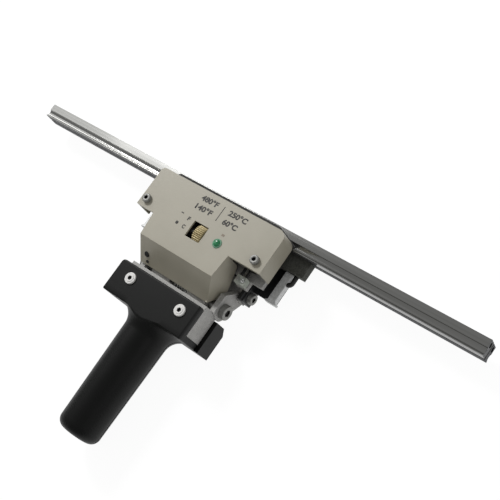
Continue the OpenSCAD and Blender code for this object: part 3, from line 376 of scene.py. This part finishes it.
for down in np.concatenate([MOULD_EDGE * (1 - np.sin(edge_turn[::-1])), np.linspace(1.3, CORNER_ROUND, 8)]):
    inset = MOULD_EDGE - math.sqrt(MOULD_EDGE ** 2 - max(MOULD_EDGE - down, 0) ** 2)
    corner = CORNER_ROUND - math.sqrt(CORNER_ROUND ** 2 - (CORNER_ROUND - down) ** 2)
    plate = block_reach(front_rays, plate_at, FLANGE_LEFT - corner, FLANGE_RIGHT, SLOT_Z, FLANGE_Z,
                        MOULD_EDGE, inset)
    front_rows.append((-FLANGE_TOP - down, PLATE_MIDDLE, plate))
front_rows.append((-WEB_TOP, PLATE_MIDDLE, plate))
web = block_reach(front_rays, plate_at, FLANGE_LEFT, FLANGE_RIGHT, SEAM_Z, FLANGE_Z, MOULD_EDGE, 0)
front_rows.append((-WEB_TOP, PLATE_MIDDLE, web))
for a in edge_turn:
    y = -FLANGE_LOW + MOULD_EDGE * (1 - math.sin(a))
    inset = MOULD_EDGE * (1 - math.cos(a))
    edge = block_reach(front_rays, plate_at, FLANGE_LEFT, FLANGE_RIGHT, SEAM_Z, FLANGE_Z, MOULD_EDGE, inset)
    handle = handle_reach(front_rays, plate_at, -FLANGE_LOW - y, SEAM_Z, FLANGE_Z, FLANGE_BLEND)
    front_rows.append((y, PLATE_MIDDLE, np.maximum(edge, handle)))
for v in handle_steps:
    middle = PLATE_MIDDLE - (PLATE_MIDDLE - HANDLE_MIDDLE) * min(v / FLARE_LEN, 1)
    handle = handle_reach(front_rays, np.array([0.0, middle]), v, SEAM_Z, FLANGE_Z, HANDLE_BLEND)
    front_rows.append((-FLANGE_LOW - v, middle, handle))
for y, reach in ((GRIP_END, CORD_HOLE_R + CORD_HOLE_EDGE), (GRIP_END - CORD_HOLE_EDGE, CORD_HOLE_R),
                 (CORD_HOLE_END, CORD_HOLE_R)):
    front_rows.append((-y, CORD_Z, np.full(len(front_rays), reach)))

# Glass-filled nylon: near-black and satin, with a spark-eroded mould grain of about 0.6 mm.
GRAIN, SHEEN = 0.0006, 0.016
black_nylon, place = bare_material("black_glass_filled_nylon")
grain = add(black_nylon, "ShaderNodeTexNoise", {"Vector": place, "Scale": 1 / GRAIN, "Detail": 3.0})
sheen = add(black_nylon, "ShaderNodeTexNoise", {"Vector": place, "Scale": 1 / SHEEN, "Detail": 3.0})
tone = add(black_nylon, "ShaderNodeMix",
           {MIX_SHARE: sheen.outputs["Fac"], MIX_A: linear("#0c0d0c"), MIX_B: linear("#151615")},
           data_type="RGBA")
rough = add(black_nylon, "ShaderNodeMapRange",
            {"Value": sheen.outputs["Fac"], "To Min": 0.4, "To Max": 0.52})
bump = add(black_nylon, "ShaderNodeBump",
           {"Height": grain.outputs["Fac"], "Strength": 0.25, "Distance": 0.0001})
skin = add(black_nylon, "ShaderNodeBsdfPrincipled",
           {"Base Color": tone.outputs[MIX_OUT], "Roughness": rough.outputs["Result"],
            "Specular IOR Level": 0.19, "Normal": bump.outputs["Normal"]})
add(black_nylon, "ShaderNodeOutputMaterial", {"Surface": skin.outputs["BSDF"]})
surface("front_grip_shell", [grip_grid(front_rays, front_rows)], black_nylon, "lever_a", "black_grip",
        "front_grip")


# Grip screws and their washers: white nylon, so that the metal tongue behind the flange stays insulated.
# The washers lie on the flange face, and the sockets in the screw heads are painted black: painted shade.
GRIP_SCREW = np.array([25.1, -84.6, FLANGE_Z])
MIRROR = np.array([-1.0, 1.0, 1.0])
WASHER = [(3.05, 0, 0), (4.4, 0, 0), (4.4, 1.0, 0), (4.3, 1.25, 0), (4.05, 1.4, 0), (3.2, 1.4, 0),
          (3.05, 1.3, 0), (3.05, 0, 0)]
NYLON_SCREW = [(2.0, -15.4, 0), (2.0, 0, 0), (3.0, 0, 0), (3.0, 1.45, 0), (2.9, 1.7, 0), (2.65, 1.8, 0),
               (2.0, 1.8, 0), (1.765, 1.65, 1), (1.765, 0.2, 1)]
# White nylon: a warm white, faintly clouded and half matt.
white_nylon = mottled("white_nylon", "#f4f3ef", "#fefdfb", grain_mm=3.0, rough=(0.4, 0.55), relief_mm=0.02)
washers = [turned(WASHER, at, Z_AXIS) for at in (GRIP_SCREW, GRIP_SCREW * MIRROR)]
surface("front_grip_nylon_washers", washers, white_nylon, "lever_a", "white_cap", "front_grip_washers")
screws = [turned(NYLON_SCREW, at, Z_AXIS) for at in (GRIP_SCREW, GRIP_SCREW * MIRROR)]
surface("front_grip_nylon_screws", screws, white_nylon, "lever_a", "white_cap", "front_grip_screws",
        inner=(socket_shade, SOCKET_ROW))


# Buffers between the grip halves and the bush of the cord's hole: black rubber, matt and slightly dusty.
# The buffers are glued in their seats, and the bush is pressed into the grip's end.
black_rubber = mottled("black_rubber", "#121212", "#222221",
                       grain_mm=2.0, rough=(0.65, 0.85), relief_mm=0.03)
BUSH_AT = (0, -194.6, CORD_Z)
BUSH = [(3.5, 0.6, 0), (3.9, 0.1, 0), (4.3, 0, 0), (4.6, 0.3, 0), (4.6, 11.6, 0), (3.5, 11.6, 0),
        (3.5, 0.6, 0)]
softened("grip_buffers", black_rubber, edge_mm=0.4)
surface("cord_bush", [turned(BUSH, BUSH_AT, Y_AXIS)], black_rubber, "lever_a", "black_rubber",
        "inlet_grommet")


# Rear jaw bracket: pressed steel with a beam behind the bar, a shield plate, a pad to lie on and two lugs.
# Socket bolts through the lugs hold it to the casting's yoke. Its black shield plate and beam fill the shaded
# space under the housing beside the right column: that black is partly painted shade.
# Stove enamel: black with a bluish cast and half matt, with a fine orange peel of about 1.2 mm.
black_enamel_and_shade = mottled("black_enamel_and_painted_shade", "#141516", "#242527",
                       grain_mm=1.2, rough=(0.42, 0.6), relief_mm=0.03)
softened("rear_jaw_bracket", black_enamel_and_shade, edge_mm=0.5)
LUG_BOLT = np.array([44.8, -47.5, -12.0])
CAP_BOLT = [(2.5, -14.8, 0), (2.5, 0, 0), (4.2, 0, 0), (4.2, 3.0, 0), (4.05, 3.4, 0), (3.7, 3.6, 0),
            (2.4, 3.6, 0), (2.1, 3.35, 1), (2.1, 1.8, 1)]
bolts = [turned(CAP_BOLT, LUG_BOLT * [side, 1, 1], side * X_AXIS) for side in (-1, 1)]
# The bolts' sockets are painted black inside: painted shade.
surface("bracket_cap_bolts", bolts, dull_steel, "lever_a", "bright_steel", "bracket_bolts",
        inner=(socket_shade, SOCKET_ROW))


# Columns beside the housing, with foot plates on the shield plate: they stiffen the rear bar there.
# Milled aluminium: left bright, a light silver-grey with a soft gleam and cutter marks of about 1.6 mm.
# It is lighter than the cast parts, and part of that lightness is painted light for the light falling on the
# columns.
column_aluminium_painted_light = mottled("column_aluminium_painted_light", "#c9cac9", "#eceded",
                           grain_mm=1.6, rough=(0.35, 0.5), relief_mm=0.02, Metallic=0.3)
softened("jaw_columns", column_aluminium_painted_light, edge_mm=0.7)


# Insulators under both bars, clamped by the bars' bolts, which go through them.
# Glass-fibre laminate: sawn and left rough, dark with heat, with a matt fibre grain of about 0.9 mm.
laminate = mottled("sawn_fibre_laminate", "#3d3e39", "#62635d",
                   grain_mm=0.9, rough=(0.7, 0.9), relief_mm=0.08)
softened("rear_insulator", laminate, edge_mm=0.4)
softened("front_insulator", laminate, edge_mm=0.4)


# Heated bars: drawn aluminium, left bare, with a cove along each outer side and a heater bore through them.
# Drawn aluminium is bright, with fine lines of the die along it. The rear bar and the front bar's lower edge
# are darker, a dull dark skin lies on the undersides, and the sawn ends are dull. The undersides are painted
# darker
# on the left than on the right: painted shade.
DIE_LINE, DIE_RUN = 0.0025, 0.2
DARK_LOW, DARK_HIGH, DARK_SHARE = 0.0181, 0.0213, 0.9
UNDERSIDE_LOW, UNDERSIDE_HIGH = 0.08865, 0.089
SHADE_FROM_X, SHADE_TO_X, SHADE_LEFT_SHARE, SHADE_RIGHT_SHARE = -0.03, 0.06, 0.88, 0.38
SAWN_FROM, SAWN_END, SAWN_SHARE = 0.2121, 0.2124, 0.85
bar_metal, place = bare_material("drawn_aluminium")
along_bar = add(bar_metal, "ShaderNodeMapping",
                {"Vector": place, "Scale": (1 / DIE_RUN, 1 / DIE_LINE, 1 / DIE_LINE)})
lines = add(bar_metal, "ShaderNodeTexNoise",
            {"Vector": along_bar.outputs["Vector"], "Scale": 1.0, "Detail": 2.0})
spread = add(bar_metal, "ShaderNodeMapRange",
             {"Value": lines.outputs["Fac"], "From Min": 0.3, "From Max": 0.7})
bare = add(bar_metal, "ShaderNodeMix",
           {MIX_SHARE: spread.outputs["Result"], MIX_A: linear("#9f9f9c"), MIX_B: linear("#acacaa")},
           data_type="RGBA")
spot = add(bar_metal, "ShaderNodeSeparateXYZ", {"Vector": place})
darker_low = add(bar_metal, "ShaderNodeMapRange",
            {"Value": spot.outputs["Z"], "From Min": DARK_LOW, "From Max": DARK_HIGH,
             "To Min": DARK_SHARE, "To Max": 0.0})
tone = add(bar_metal, "ShaderNodeMix",
           {MIX_SHARE: darker_low.outputs["Result"], MIX_A: bare.outputs[MIX_OUT], MIX_B: linear("#4c4d50")},
           data_type="RGBA")
under = add(bar_metal, "ShaderNodeMapRange",
            {"Value": spot.outputs["Y"], "From Min": UNDERSIDE_LOW, "From Max": UNDERSIDE_HIGH,
             "To Min": 1.0, "To Max": 0.0})
# Painted shade: along X the undersides are darker on the left of the housing than on the right.
painted_shade_left = add(bar_metal, "ShaderNodeMapRange",
             {"Value": spot.outputs["X"], "From Min": SHADE_FROM_X, "From Max": SHADE_TO_X,
              "To Min": SHADE_LEFT_SHARE, "To Max": SHADE_RIGHT_SHARE})
darkening_and_shade = add(bar_metal, "ShaderNodeMath", {0: darker_low.outputs["Result"], 1: painted_shade_left.outputs["Result"]},
            operation="MAXIMUM")
below = add(bar_metal, "ShaderNodeMath", {0: darkening_and_shade.outputs[0], 1: under.outputs["Result"]},
            operation="MULTIPLY")
off_middle = add(bar_metal, "ShaderNodeMath", {0: spot.outputs["X"]}, operation="ABSOLUTE")
sawn = add(bar_metal, "ShaderNodeMapRange",
           {"Value": off_middle.outputs[0], "From Min": SAWN_FROM, "From Max": SAWN_END,
            "To Min": 0.0, "To Max": SAWN_SHARE})
share = add(bar_metal, "ShaderNodeMath", {0: below.outputs[0], 1: sawn.outputs["Result"]},
            operation="MAXIMUM")
gloss = add(bar_metal, "ShaderNodeMapRange",
            {"Value": spread.outputs["Result"], "To Min": 0.11, "To Max": 0.14})
bump = add(bar_metal, "ShaderNodeBump",
           {"Height": lines.outputs["Fac"], "Strength": 0.04, "Distance": 0.00001})
metal = add(bar_metal, "ShaderNodeBsdfPrincipled",
            {"Base Color": tone.outputs[MIX_OUT], "Metallic": 0.92, "Roughness": gloss.outputs["Result"],
             "Normal": bump.outputs["Normal"]})
dull_dark_skin = add(bar_metal, "ShaderNodeBsdfPrincipled",
            {"Base Color": linear("#6c6d6f"), "Roughness": 0.8, "Specular IOR Level": 0.05})
skin = add(bar_metal, "ShaderNodeMixShader",
           {0: share.outputs[0], 1: metal.outputs["BSDF"], 2: dull_dark_skin.outputs["BSDF"]})
add(bar_metal, "ShaderNodeOutputMaterial", {"Surface": skin.outputs["Shader"]})
softened("front_bar", bar_metal, edge_mm=0.35)
softened("rear_bar", bar_metal, edge_mm=0.35)


# Bar bolts, heater rods and sealing strips of both jaws.
# Zinc-plated socket bolts clamp bar and insulator, a stainless rod fills each bore, PTFE cloth faces each bar.
BOLT_X, BOLT_Z, BOLT_TIP = (-44.0, -16.0, 16.0, 44.0), 3.4, -2.8
ROD_HALF, ROD_Y, ROD_Z = 207.5, 2.4, 4.0
ROD = [(1.6, 0, 0), (2.0, 0.4, 0), (2.0, 2 * ROD_HALF - 0.4, 0), (1.6, 2 * ROD_HALF, 0)]
# Stainless rod: straw-coloured by heat. PTFE cloth: brown, with the weave's 0.6 mm grain.
hot_steel = mottled("heat_tinted_stainless", "#7d7262", "#a39a8b",
                    grain_mm=6.0, rough=(0.3, 0.5), relief_mm=0.01, Metallic=1.0)
ptfe_cloth = mottled("ptfe_glass_cloth", "#6f5433", "#8d6f48",
                     grain_mm=0.6, rough=(0.5, 0.65), relief_mm=0.03)
for jaw, body, side, head_y in (("front", "lever_b", 1, -22.5), ("rear", "lever_a", -1, -24.5)):
    shank = BOLT_TIP - head_y
    bar_bolt = [(1.5, -shank, 0), (1.5, 0, 0), (2.75, 0, 0), (2.75, 2.0, 0), (2.6, 2.35, 0), (2.3, 2.5, 0),
                (1.65, 2.5, 0), (1.375, 2.3, 1), (1.375, 1.0, 1)]
    bolts = [turned(bar_bolt, (x, head_y, BOLT_Z * side), -Y_AXIS) for x in BOLT_X]
    # The bolts' sockets are painted black inside: painted shade.
    surface(jaw + "_bar_cap_bolts", bolts, zinc_steel, body, "bright_steel", jaw + "_bar_bolts",
            inner=(socket_shade, SOCKET_ROW))
    surface(jaw + "_heater_rod", [turned(ROD, (-ROD_HALF, ROD_Y, ROD_Z * side), X_AXIS)], hot_steel, body,
            "heater_steel", jaw + "_heater")
    softened(jaw + "_seal_strip", ptfe_cloth, edge_mm=0.08)


# Rear lead: a cable from the rear heater, round the right column and in behind the shield plate.
# Silicone sheath: black, smooth and half matt, faintly clouded.
silicone = mottled("black_silicone", "#101010", "#1e1e1d", grain_mm=3.0, rough=(0.45, 0.6), relief_mm=0.02)
LEAD_X, LEAD_Z, LEAD_R, LEAD_BEND, LEAD_TURN_Y = 69.4, -5.9, 1.8, 2.6, -24.0
LEAD_RUN = (-18.5, -20.0, -21.5)
turn = np.linspace(0, -np.pi / 2, 16)
run = np.array([[LEAD_X, y, LEAD_Z] for y in LEAD_RUN])
bend = np.stack([LEAD_X - LEAD_BEND + LEAD_BEND * np.cos(turn), LEAD_TURN_Y + LEAD_BEND * np.sin(turn),
                 np.full(len(turn), LEAD_Z)], axis=-1)
surface("rear_lead_cable", [tube(np.concatenate([run, bend]), LEAD_R, Z_AXIS)], silicone, "lever_a",
        "black_rubber", "rear_lead")


# Housing casting of the moving lever: hub on the pin, floor, jaw wall, screw posts and the rear plate.
# Cast aluminium like the root lever's; the rear plate sits in a pocket of the rear grip.
softened("housing_casting", cast_aluminium, edge_mm=0.4)


# Rear grip half: the same nylon as the front half, with a block that takes the housing's rear plate.
# Its back is flat, so that the tool can lie on it, and two steel socket screws sit in its counterbores.
softened("rear_grip", black_nylon, edge_mm=0.8)
BACK_SCREW = np.array([22.0, -88.0, -15.5])
STEEL_SCREW = [(2.0, -10.8, 0), (2.0, 0, 0), (4.0, 0, 0), (4.0, 2.5, 0), (3.85, 2.85, 0), (3.5, 3.0, 0),
               (2.3, 3.0, 0), (2.0, 2.8, 1), (2.0, 1.5, 1)]
screws = [turned(STEEL_SCREW, at, -Z_AXIS) for at in (BACK_SCREW, BACK_SCREW * MIRROR)]
# The screws' sockets are painted black inside: painted shade.
surface("rear_grip_cap_screws", screws, zinc_steel, "lever_b", "bright_steel", "rear_grip_screws",
        inner=(socket_shade, SOCKET_ROW))


# Thermostat: a switch block on a bent steel bracket, screwed to the housing's floor.
# Its shaft runs to the right and carries the thumbwheel.
# Phenolic resin: a brownish black with a low gloss from the mould.
phenolic = mottled("black_phenolic", "#100f0e", "#1d1b19", grain_mm=1.0, rough=(0.35, 0.55), relief_mm=0.02)
softened("thermostat_body", phenolic, edge_mm=0.5)
softened("thermostat_bracket", black_enamel_and_shade, edge_mm=0.25)
softened("wheel_shaft", zinc_steel, edge_mm=0.2)


# Thumbwheel: brass-coloured, ribbed round its rim, pressed on the thermostat's shaft.
# Its rim stands out of the window in the cover, where a thumb turns it.
WHEEL = np.array([0.0, -31.8, 20.4])
WHEEL_R, WHEEL_BORE, RIBS, RIB_DEEP, RIM_EDGE = 7.5, 2.02, 30, 0.5, 0.5
WHEEL_X0, WHEEL_X1, WHEEL_SIDES = -1.8, 6.2, 360


def ribbed_wheel():
    """A ring about X: radius R - RIB_DEEP * (0.5 - 0.5 cos(RIBS a)) ** 2 on the rim, with rounded edges."""
    a = np.linspace(0, 2 * np.pi, WHEEL_SIDES, endpoint=False)
    rim = WHEEL_R - RIB_DEEP * (0.5 - 0.5 * np.cos(RIBS * a)) ** 2
    bend = np.radians([0, 30, 60, 90])
    round_off = [(RIM_EDGE * (1 - math.sin(t)), rim - RIM_EDGE * (1 - math.cos(t))) for t in bend]
    left = [(WHEEL_X0 + inward, r) for inward, r in round_off[::-1]]
    right = [(WHEEL_X1 - inward, r) for inward, r in round_off]
    bore = np.full(WHEEL_SIDES, WHEEL_BORE)
    rows = [(WHEEL_X0, bore)] + left + right + [(WHEEL_X1, bore), (WHEEL_X0, bore)]
    rings = [np.stack([np.full(WHEEL_SIDES, x), r * np.cos(a), r * np.sin(a)], axis=-1) for x, r in rows]
    return WHEEL + np.stack(rings)


# Satin brass: a pale yellow metal, dulled by handling, clouded over a few millimetres.
satin_brass = mottled("satin_brass", "#8f7f57", "#c2b48a",
                      grain_mm=2.5, rough=(0.35, 0.5), relief_mm=0.02, Metallic=0.35)
surface("ribbed_thumbwheel", [ribbed_wheel()], satin_brass, "thumbwheel", "brass_wheel", "temperature_wheel")


# Terminal block on the housing's shelf: pale moulded plastic with a low gloss and two plated clamp screws.
# Two black silicone leads run from it under the floor's end to the front heater.
terminal_plastic = mottled("pale_terminal_plastic", "#aeb5ab", "#d3d7cc",
                           grain_mm=2.0, rough=(0.35, 0.5), relief_mm=0.02)
softened("terminal_block", terminal_plastic, edge_mm=0.4)
softened("terminal_screws", zinc_steel, edge_mm=0.2)
CABLE_X, CABLE_Z, CABLE_R, CABLE_BEND = (41.0, 45.4), 10.2, 1.1, 2.4
CABLE_Y0, CABLE_Y1, BEND_GAP, CABLE_STEPS = -40.0, -14.5, 0.5, 12
turn = np.linspace(np.pi / 2, 0, CABLE_STEPS)
straight = np.linspace(CABLE_Y0, CABLE_Y1 - BEND_GAP, CABLE_STEPS)
leads = []
for x in CABLE_X:
    run = np.stack([np.full(CABLE_STEPS, x), straight, np.full(CABLE_STEPS, CABLE_Z)], axis=-1)
    bend = np.stack([np.full(CABLE_STEPS, x), CABLE_Y1 + CABLE_BEND * np.cos(turn),
                     CABLE_Z - CABLE_BEND + CABLE_BEND * np.sin(turn)], axis=-1)
    leads.append(tube(np.concatenate([run, bend]), CABLE_R, X_AXIS))
surface("front_lead_cables", leads, silicone, "lever_b", "black_rubber", "front_leads")


# Pilot lamp: a green lens pushed through the cover from outside, held by a cream plastic holder behind it.
# The rim of the moulded lens is thin and pale; its dome is deeper green and glossy. The holder is half matt.
LAMP = np.array([19.9, -31.8, 26.5])
DOME_ROW = 5
LENS = [(2.7, -8.0, 0), (2.7, 0, 0), (3.6, 0, 0), (3.6, 0.4, 0), (3.4, 0.6, 0), (2.72, 0.6, 0),
        (2.6, 0.95, 0), (2.2, 1.4, 0), (1.6, 1.68, 0), (0.8, 1.78, 0)]
lens_rim = mottled("green_lens_rim", "#4f8f6c", "#78ad8f", grain_mm=1.5, rough=(0.25, 0.35), relief_mm=0.01)
lens_dome = mottled("green_lens_dome", "#1c6c43", "#43a06c", grain_mm=3.0, rough=(0.1, 0.2), relief_mm=0.01)
surface("lamp_green_lens", [turned(LENS, LAMP, Z_AXIS)], lens_rim, "lever_b", "green_lens", "lamp_lens",
        inner=(lens_dome, DOME_ROW))
cream_plastic = mottled("cream_plastic", "#c3bca6", "#d6d0bd",
                        grain_mm=3.0, rough=(0.4, 0.55), relief_mm=0.02)
softened("lamp_holder", cream_plastic, edge_mm=0.4)


# Insulating sheet on the front bar: black glass-fibre sheet, matt with a 1 mm grain, with rounded corners.
# It keeps the bar's heat from the cover, whose back edge stands just off it; its right end slopes down.
# The black band it shows along the cover's back edge is painted shade for the deep gap there;
# the slope of its right end makes that band follow the cover's corner.
gap_shade_sheet = mottled("black_sheet_painted_gap_shade", "#090909", "#171716",
                      grain_mm=1.0, rough=(0.55, 0.75), relief_mm=0.03)
softened("heat_sheet", gap_shade_sheet, edge_mm=0.25)


# Front cover: sheet steel, folded and welded, in grey-beige enamel, screwed on the posts of the housing.
# The face has a window for the thumbwheel and a hole for the lamp.
# Sprayed enamel: a warm grey, half matt, with faint clouds and an orange peel of about 1.4 mm.
ENAMEL_CLOUD, ENAMEL_PEEL = 0.04, 0.0014
enamel, place = bare_material("grey_beige_enamel")
cloud = add(enamel, "ShaderNodeTexNoise", {"Vector": place, "Scale": 1 / ENAMEL_CLOUD, "Detail": 3.0})
peel = add(enamel, "ShaderNodeTexNoise", {"Vector": place, "Scale": 1 / ENAMEL_PEEL, "Detail": 2.0})
spread = add(enamel, "ShaderNodeMapRange",
             {"Value": cloud.outputs["Fac"], "From Min": 0.35, "From Max": 0.65})
tone = add(enamel, "ShaderNodeMix",
           {MIX_SHARE: spread.outputs["Result"], MIX_A: linear("#aea998"), MIX_B: linear("#bbb6a6")},
           data_type="RGBA")
gloss = add(enamel, "ShaderNodeMapRange", {"Value": spread.outputs["Result"], "To Min": 0.38, "To Max": 0.5})
bump = add(enamel, "ShaderNodeBump", {"Height": peel.outputs["Fac"], "Strength": 0.3, "Distance": 0.00006})
skin = add(enamel, "ShaderNodeBsdfPrincipled",
           {"Base Color": tone.outputs[MIX_OUT], "Roughness": gloss.outputs["Result"],
            "Normal": bump.outputs["Normal"]})
add(enamel, "ShaderNodeOutputMaterial", {"Surface": skin.outputs["BSDF"]})
softened("front_cover", enamel, edge_mm=0.8)


# Print on the cover: the wheel's range in both units and small marks by the window, in dark grey ink.
# The ink lies on the enamel as a half matt film, so it is a flat mesh a twentieth of a millimetre thick.
FACE_Z, INK_FILM = 26.5, 0.05
TYPE_DEEP, TYPE_SPREAD = 0.05, 0.02
dark_ink = mottled("dark_grey_ink", "#171613", "#282622", grain_mm=1.2, rough=(0.45, 0.6), relief_mm=0.01)
faint_ink = mottled("faint_brown_ink", "#857765", "#9c9080", grain_mm=1.2, rough=(0.45, 0.6), relief_mm=0.01)


def printed(name, words, middle, size, ink):
    """A printed mark: the filled outline of the words, fitted to size (width, height) about its middle."""
    curve = bpy.data.curves.new(name + "_outline", "FONT")
    curve.body = words
    curve.extrude = TYPE_DEEP
    curve.offset = TYPE_SPREAD
    curve.bevel_depth = TYPE_SPREAD
    curve.bevel_resolution = 0
    letters = bpy.data.objects.new(name + "_outline", curve)
    mesh = bpy.data.meshes.new_from_object(letters)
    bpy.data.objects.remove(letters)
    bpy.data.curves.remove(curve)
    points = np.empty(len(mesh.vertices) * 3)
    mesh.vertices.foreach_get("co", points)
    points = points.reshape(-1, 3)
    low, high = points.min(axis=0), points.max(axis=0)
    points = (points - low) / (high - low) - [0.5, 0.5, 0.0]
    points = points * [*size, INK_FILM] + [*middle, FACE_Z] + JAW_LINE
    mesh.vertices.foreach_set("co", (points / 1000).ravel())
    mesh.update()
    mesh.materials.clear()
    mesh.materials.append(ink)
    piece = bpy.data.objects.new(name, mesh)
    bpy.context.scene.collection.objects.link(piece)
    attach(piece, "lever_b")


printed("print_upper_f", "480°F", (-5.9, -7.7), (16.1, 4.6), dark_ink)
printed("print_lower_f", "140°F", (-6.2, -15.2), (15.8, 4.6), dark_ink)
printed("print_divider", "|", (7.6, -12.2), (0.6, 12.2), dark_ink)
printed("print_upper_c", "250°C", (21.7, -8.3), (17.2, 4.6), dark_ink)
printed("print_lower_c", "60°C", (19.7, -15.9), (13.4, 4.6), dark_ink)
printed("print_tick", "-", (-19.9, -24.7), (2.6, 0.8), dark_ink)
printed("print_unit_f", "F", (-12.1, -26.4), (2.2, 3.2), dark_ink)
printed("print_dot", "•", (-19.1, -33.0), (2.6, 2.6), dark_ink)
printed("print_unit_c", "C", (-12.2, -33.2), (2.6, 3.2), dark_ink)
printed("print_lamp_mark", "-", (20.1, -24.7), (2.6, 1.6), faint_ink)


# Cover screws and plugs: two dulled socket screws on the face, two black rubber plugs in the slanted face.
# The screws hold the cover on its posts; the plugs close the holes of an unused fixing.
COVER_SCREW = np.array([53.4, -28.9, FACE_Z])
RAISED_SCREW = [(2.0, -11.5, 0), (2.0, 0, 0), (3.4, 0, 0), (3.4, 2.4, 0), (3.2, 2.8, 0), (2.8, 3.0, 0),
                (1.75, 3.0, 0), (1.6, 2.85, 1), (1.6, 1.0, 1)]
screws = [turned(RAISED_SCREW, at, Z_AXIS) for at in (COVER_SCREW, COVER_SCREW * MIRROR)]
# The screws' sockets are painted black inside: painted shade.
surface("cover_raised_screws", screws, dull_steel, "lever_b", "bright_steel", "cover_screws",
        inner=(socket_shade, SOCKET_ROW))
softened("face_plugs", black_rubber, edge_mm=0.5)


# Studio: a white paper floor under the lying tool, soft lamps and the photograph's viewpoint.
# The floor shows white to the camera and to gloss, and keeps part of the tool's shadow.
FLOOR_HALF, FLOOR_DROP = 6.0, 0.0005
GLOW_SHARE, GLOW, ROOM_LIGHT = 0.85, 1.1, 0.275
WHITE = (1, 1, 1, 1)
floor_corners = ((-FLOOR_HALF, -FLOOR_HALF), (FLOOR_HALF, -FLOOR_HALF),
                 (FLOOR_HALF, FLOOR_HALF), (-FLOOR_HALF, FLOOR_HALF))
floor_mesh = bpy.data.meshes.new("floor")
floor_mesh.from_pydata([(x, y, -FLOOR_DROP) for x, y in floor_corners], [], [(0, 1, 2, 3)])
floor = bpy.data.objects.new("floor", floor_mesh)
bpy.context.scene.collection.objects.link(floor)
paper = bare_material("white_paper")[0]
light_path = add(paper, "ShaderNodeLightPath", {})
seen = add(paper, "ShaderNodeMath",
           {0: light_path.outputs["Is Camera Ray"], 1: light_path.outputs["Is Glossy Ray"]},
           operation="MAXIMUM")
seen = add(paper, "ShaderNodeMath", {0: seen.outputs[0], 1: light_path.outputs["Is Transmission Ray"]},
           operation="MAXIMUM")
share = add(paper, "ShaderNodeMath", {0: seen.outputs[0], 1: GLOW_SHARE}, operation="MULTIPLY")
matt = add(paper, "ShaderNodeBsdfDiffuse", {"Color": linear("#f4f4f4")})
glow = add(paper, "ShaderNodeEmission", {"Color": WHITE, "Strength": GLOW})
mixed = add(paper, "ShaderNodeMixShader", {0: share.outputs[0], 1: matt.outputs[0], 2: glow.outputs[0]})
add(paper, "ShaderNodeOutputMaterial", {"Surface": mixed.outputs[0]})
paper.cycles.emission_sampling = "NONE"
floor_mesh.materials.append(paper)

world = bpy.data.worlds.new("soft_room")
bpy.context.scene.world = world
world.use_nodes = True
world.node_tree.nodes["Background"].inputs["Color"].default_value = WHITE
world.node_tree.nodes["Background"].inputs["Strength"].default_value = ROOM_LIGHT

LAMP_AWAY = 1.5


def lamp(name, toward, width, length, power):
    """An area lamp LAMP_AWAY metres off in a direction, aimed at the tool, with its width across the tool,
    its length along it and its power in watts."""
    data = bpy.data.lights.new(name, "AREA")
    data.shape = "RECTANGLE"
    data.size = width
    data.size_y = length
    data.energy = power
    lamp_object = bpy.data.objects.new(name, data)
    bpy.context.scene.collection.objects.link(lamp_object)
    at = LAMP_AWAY * np.array(toward)
    away = at / np.linalg.norm(at)
    side = np.cross(Y_AXIS, away)
    side /= np.linalg.norm(side)
    lamp_object.matrix_world = Matrix(np.vstack([
        np.column_stack([side, np.cross(away, side), away, at]), [0, 0, 0, 1]]).tolist())


# The key lamp lights the cover, the next three show in the bars' bright faces, the last lifts the right walls.
lamp("key_lamp", (-0.598, 0.40, 0.695), width=0.3, length=0.3, power=9.4)
lamp("bar_lamp", (-0.625, 0.174, 0.761), width=0.32, length=0.4, power=0.6)
lamp("side_lamp", (-0.79, 0.17, 0.59), width=0.45, length=0.5, power=0.7)
lamp("back_lamp", (-0.72, 0.62, 0.31), width=0.5, length=0.6, power=2.6)
lamp("edge_lamp", (0.80, 0.18, 0.50), width=0.4, length=0.4, power=1.5)

VIEW_RIGHT = np.array([0.7423, 0.569, -0.3539])
VIEW_UP = np.array([-0.4062, 0.8021, 0.4377])
VIEW_BACK = np.array([0.5329, -0.1811, 0.8265])
EYE = np.array([0.3720, -0.0272, 0.5703])
FOCAL_PX, IMAGE_PX, SENSOR_MM = 915.8, 500, 36.0
AXIS_PX, AXIS_PY = 252, 223
camera_data = bpy.data.cameras.new("camera")
camera_data.sensor_width = SENSOR_MM
camera_data.lens = FOCAL_PX * SENSOR_MM / IMAGE_PX
camera_data.shift_x = (IMAGE_PX / 2 - AXIS_PX) / IMAGE_PX
camera_data.shift_y = (AXIS_PY - IMAGE_PX / 2) / IMAGE_PX
camera_data.clip_start = 0.01
camera = bpy.data.objects.new("camera", camera_data)
bpy.context.scene.collection.objects.link(camera)
camera.matrix_world = Matrix(np.vstack([np.column_stack([VIEW_RIGHT, VIEW_UP, VIEW_BACK, EYE]),
                                        [0, 0, 0, 1]]).tolist())
bpy.context.scene.camera = camera
bpy.context.scene.view_settings.view_transform = "Standard"

bpy.context.view_layer.update()
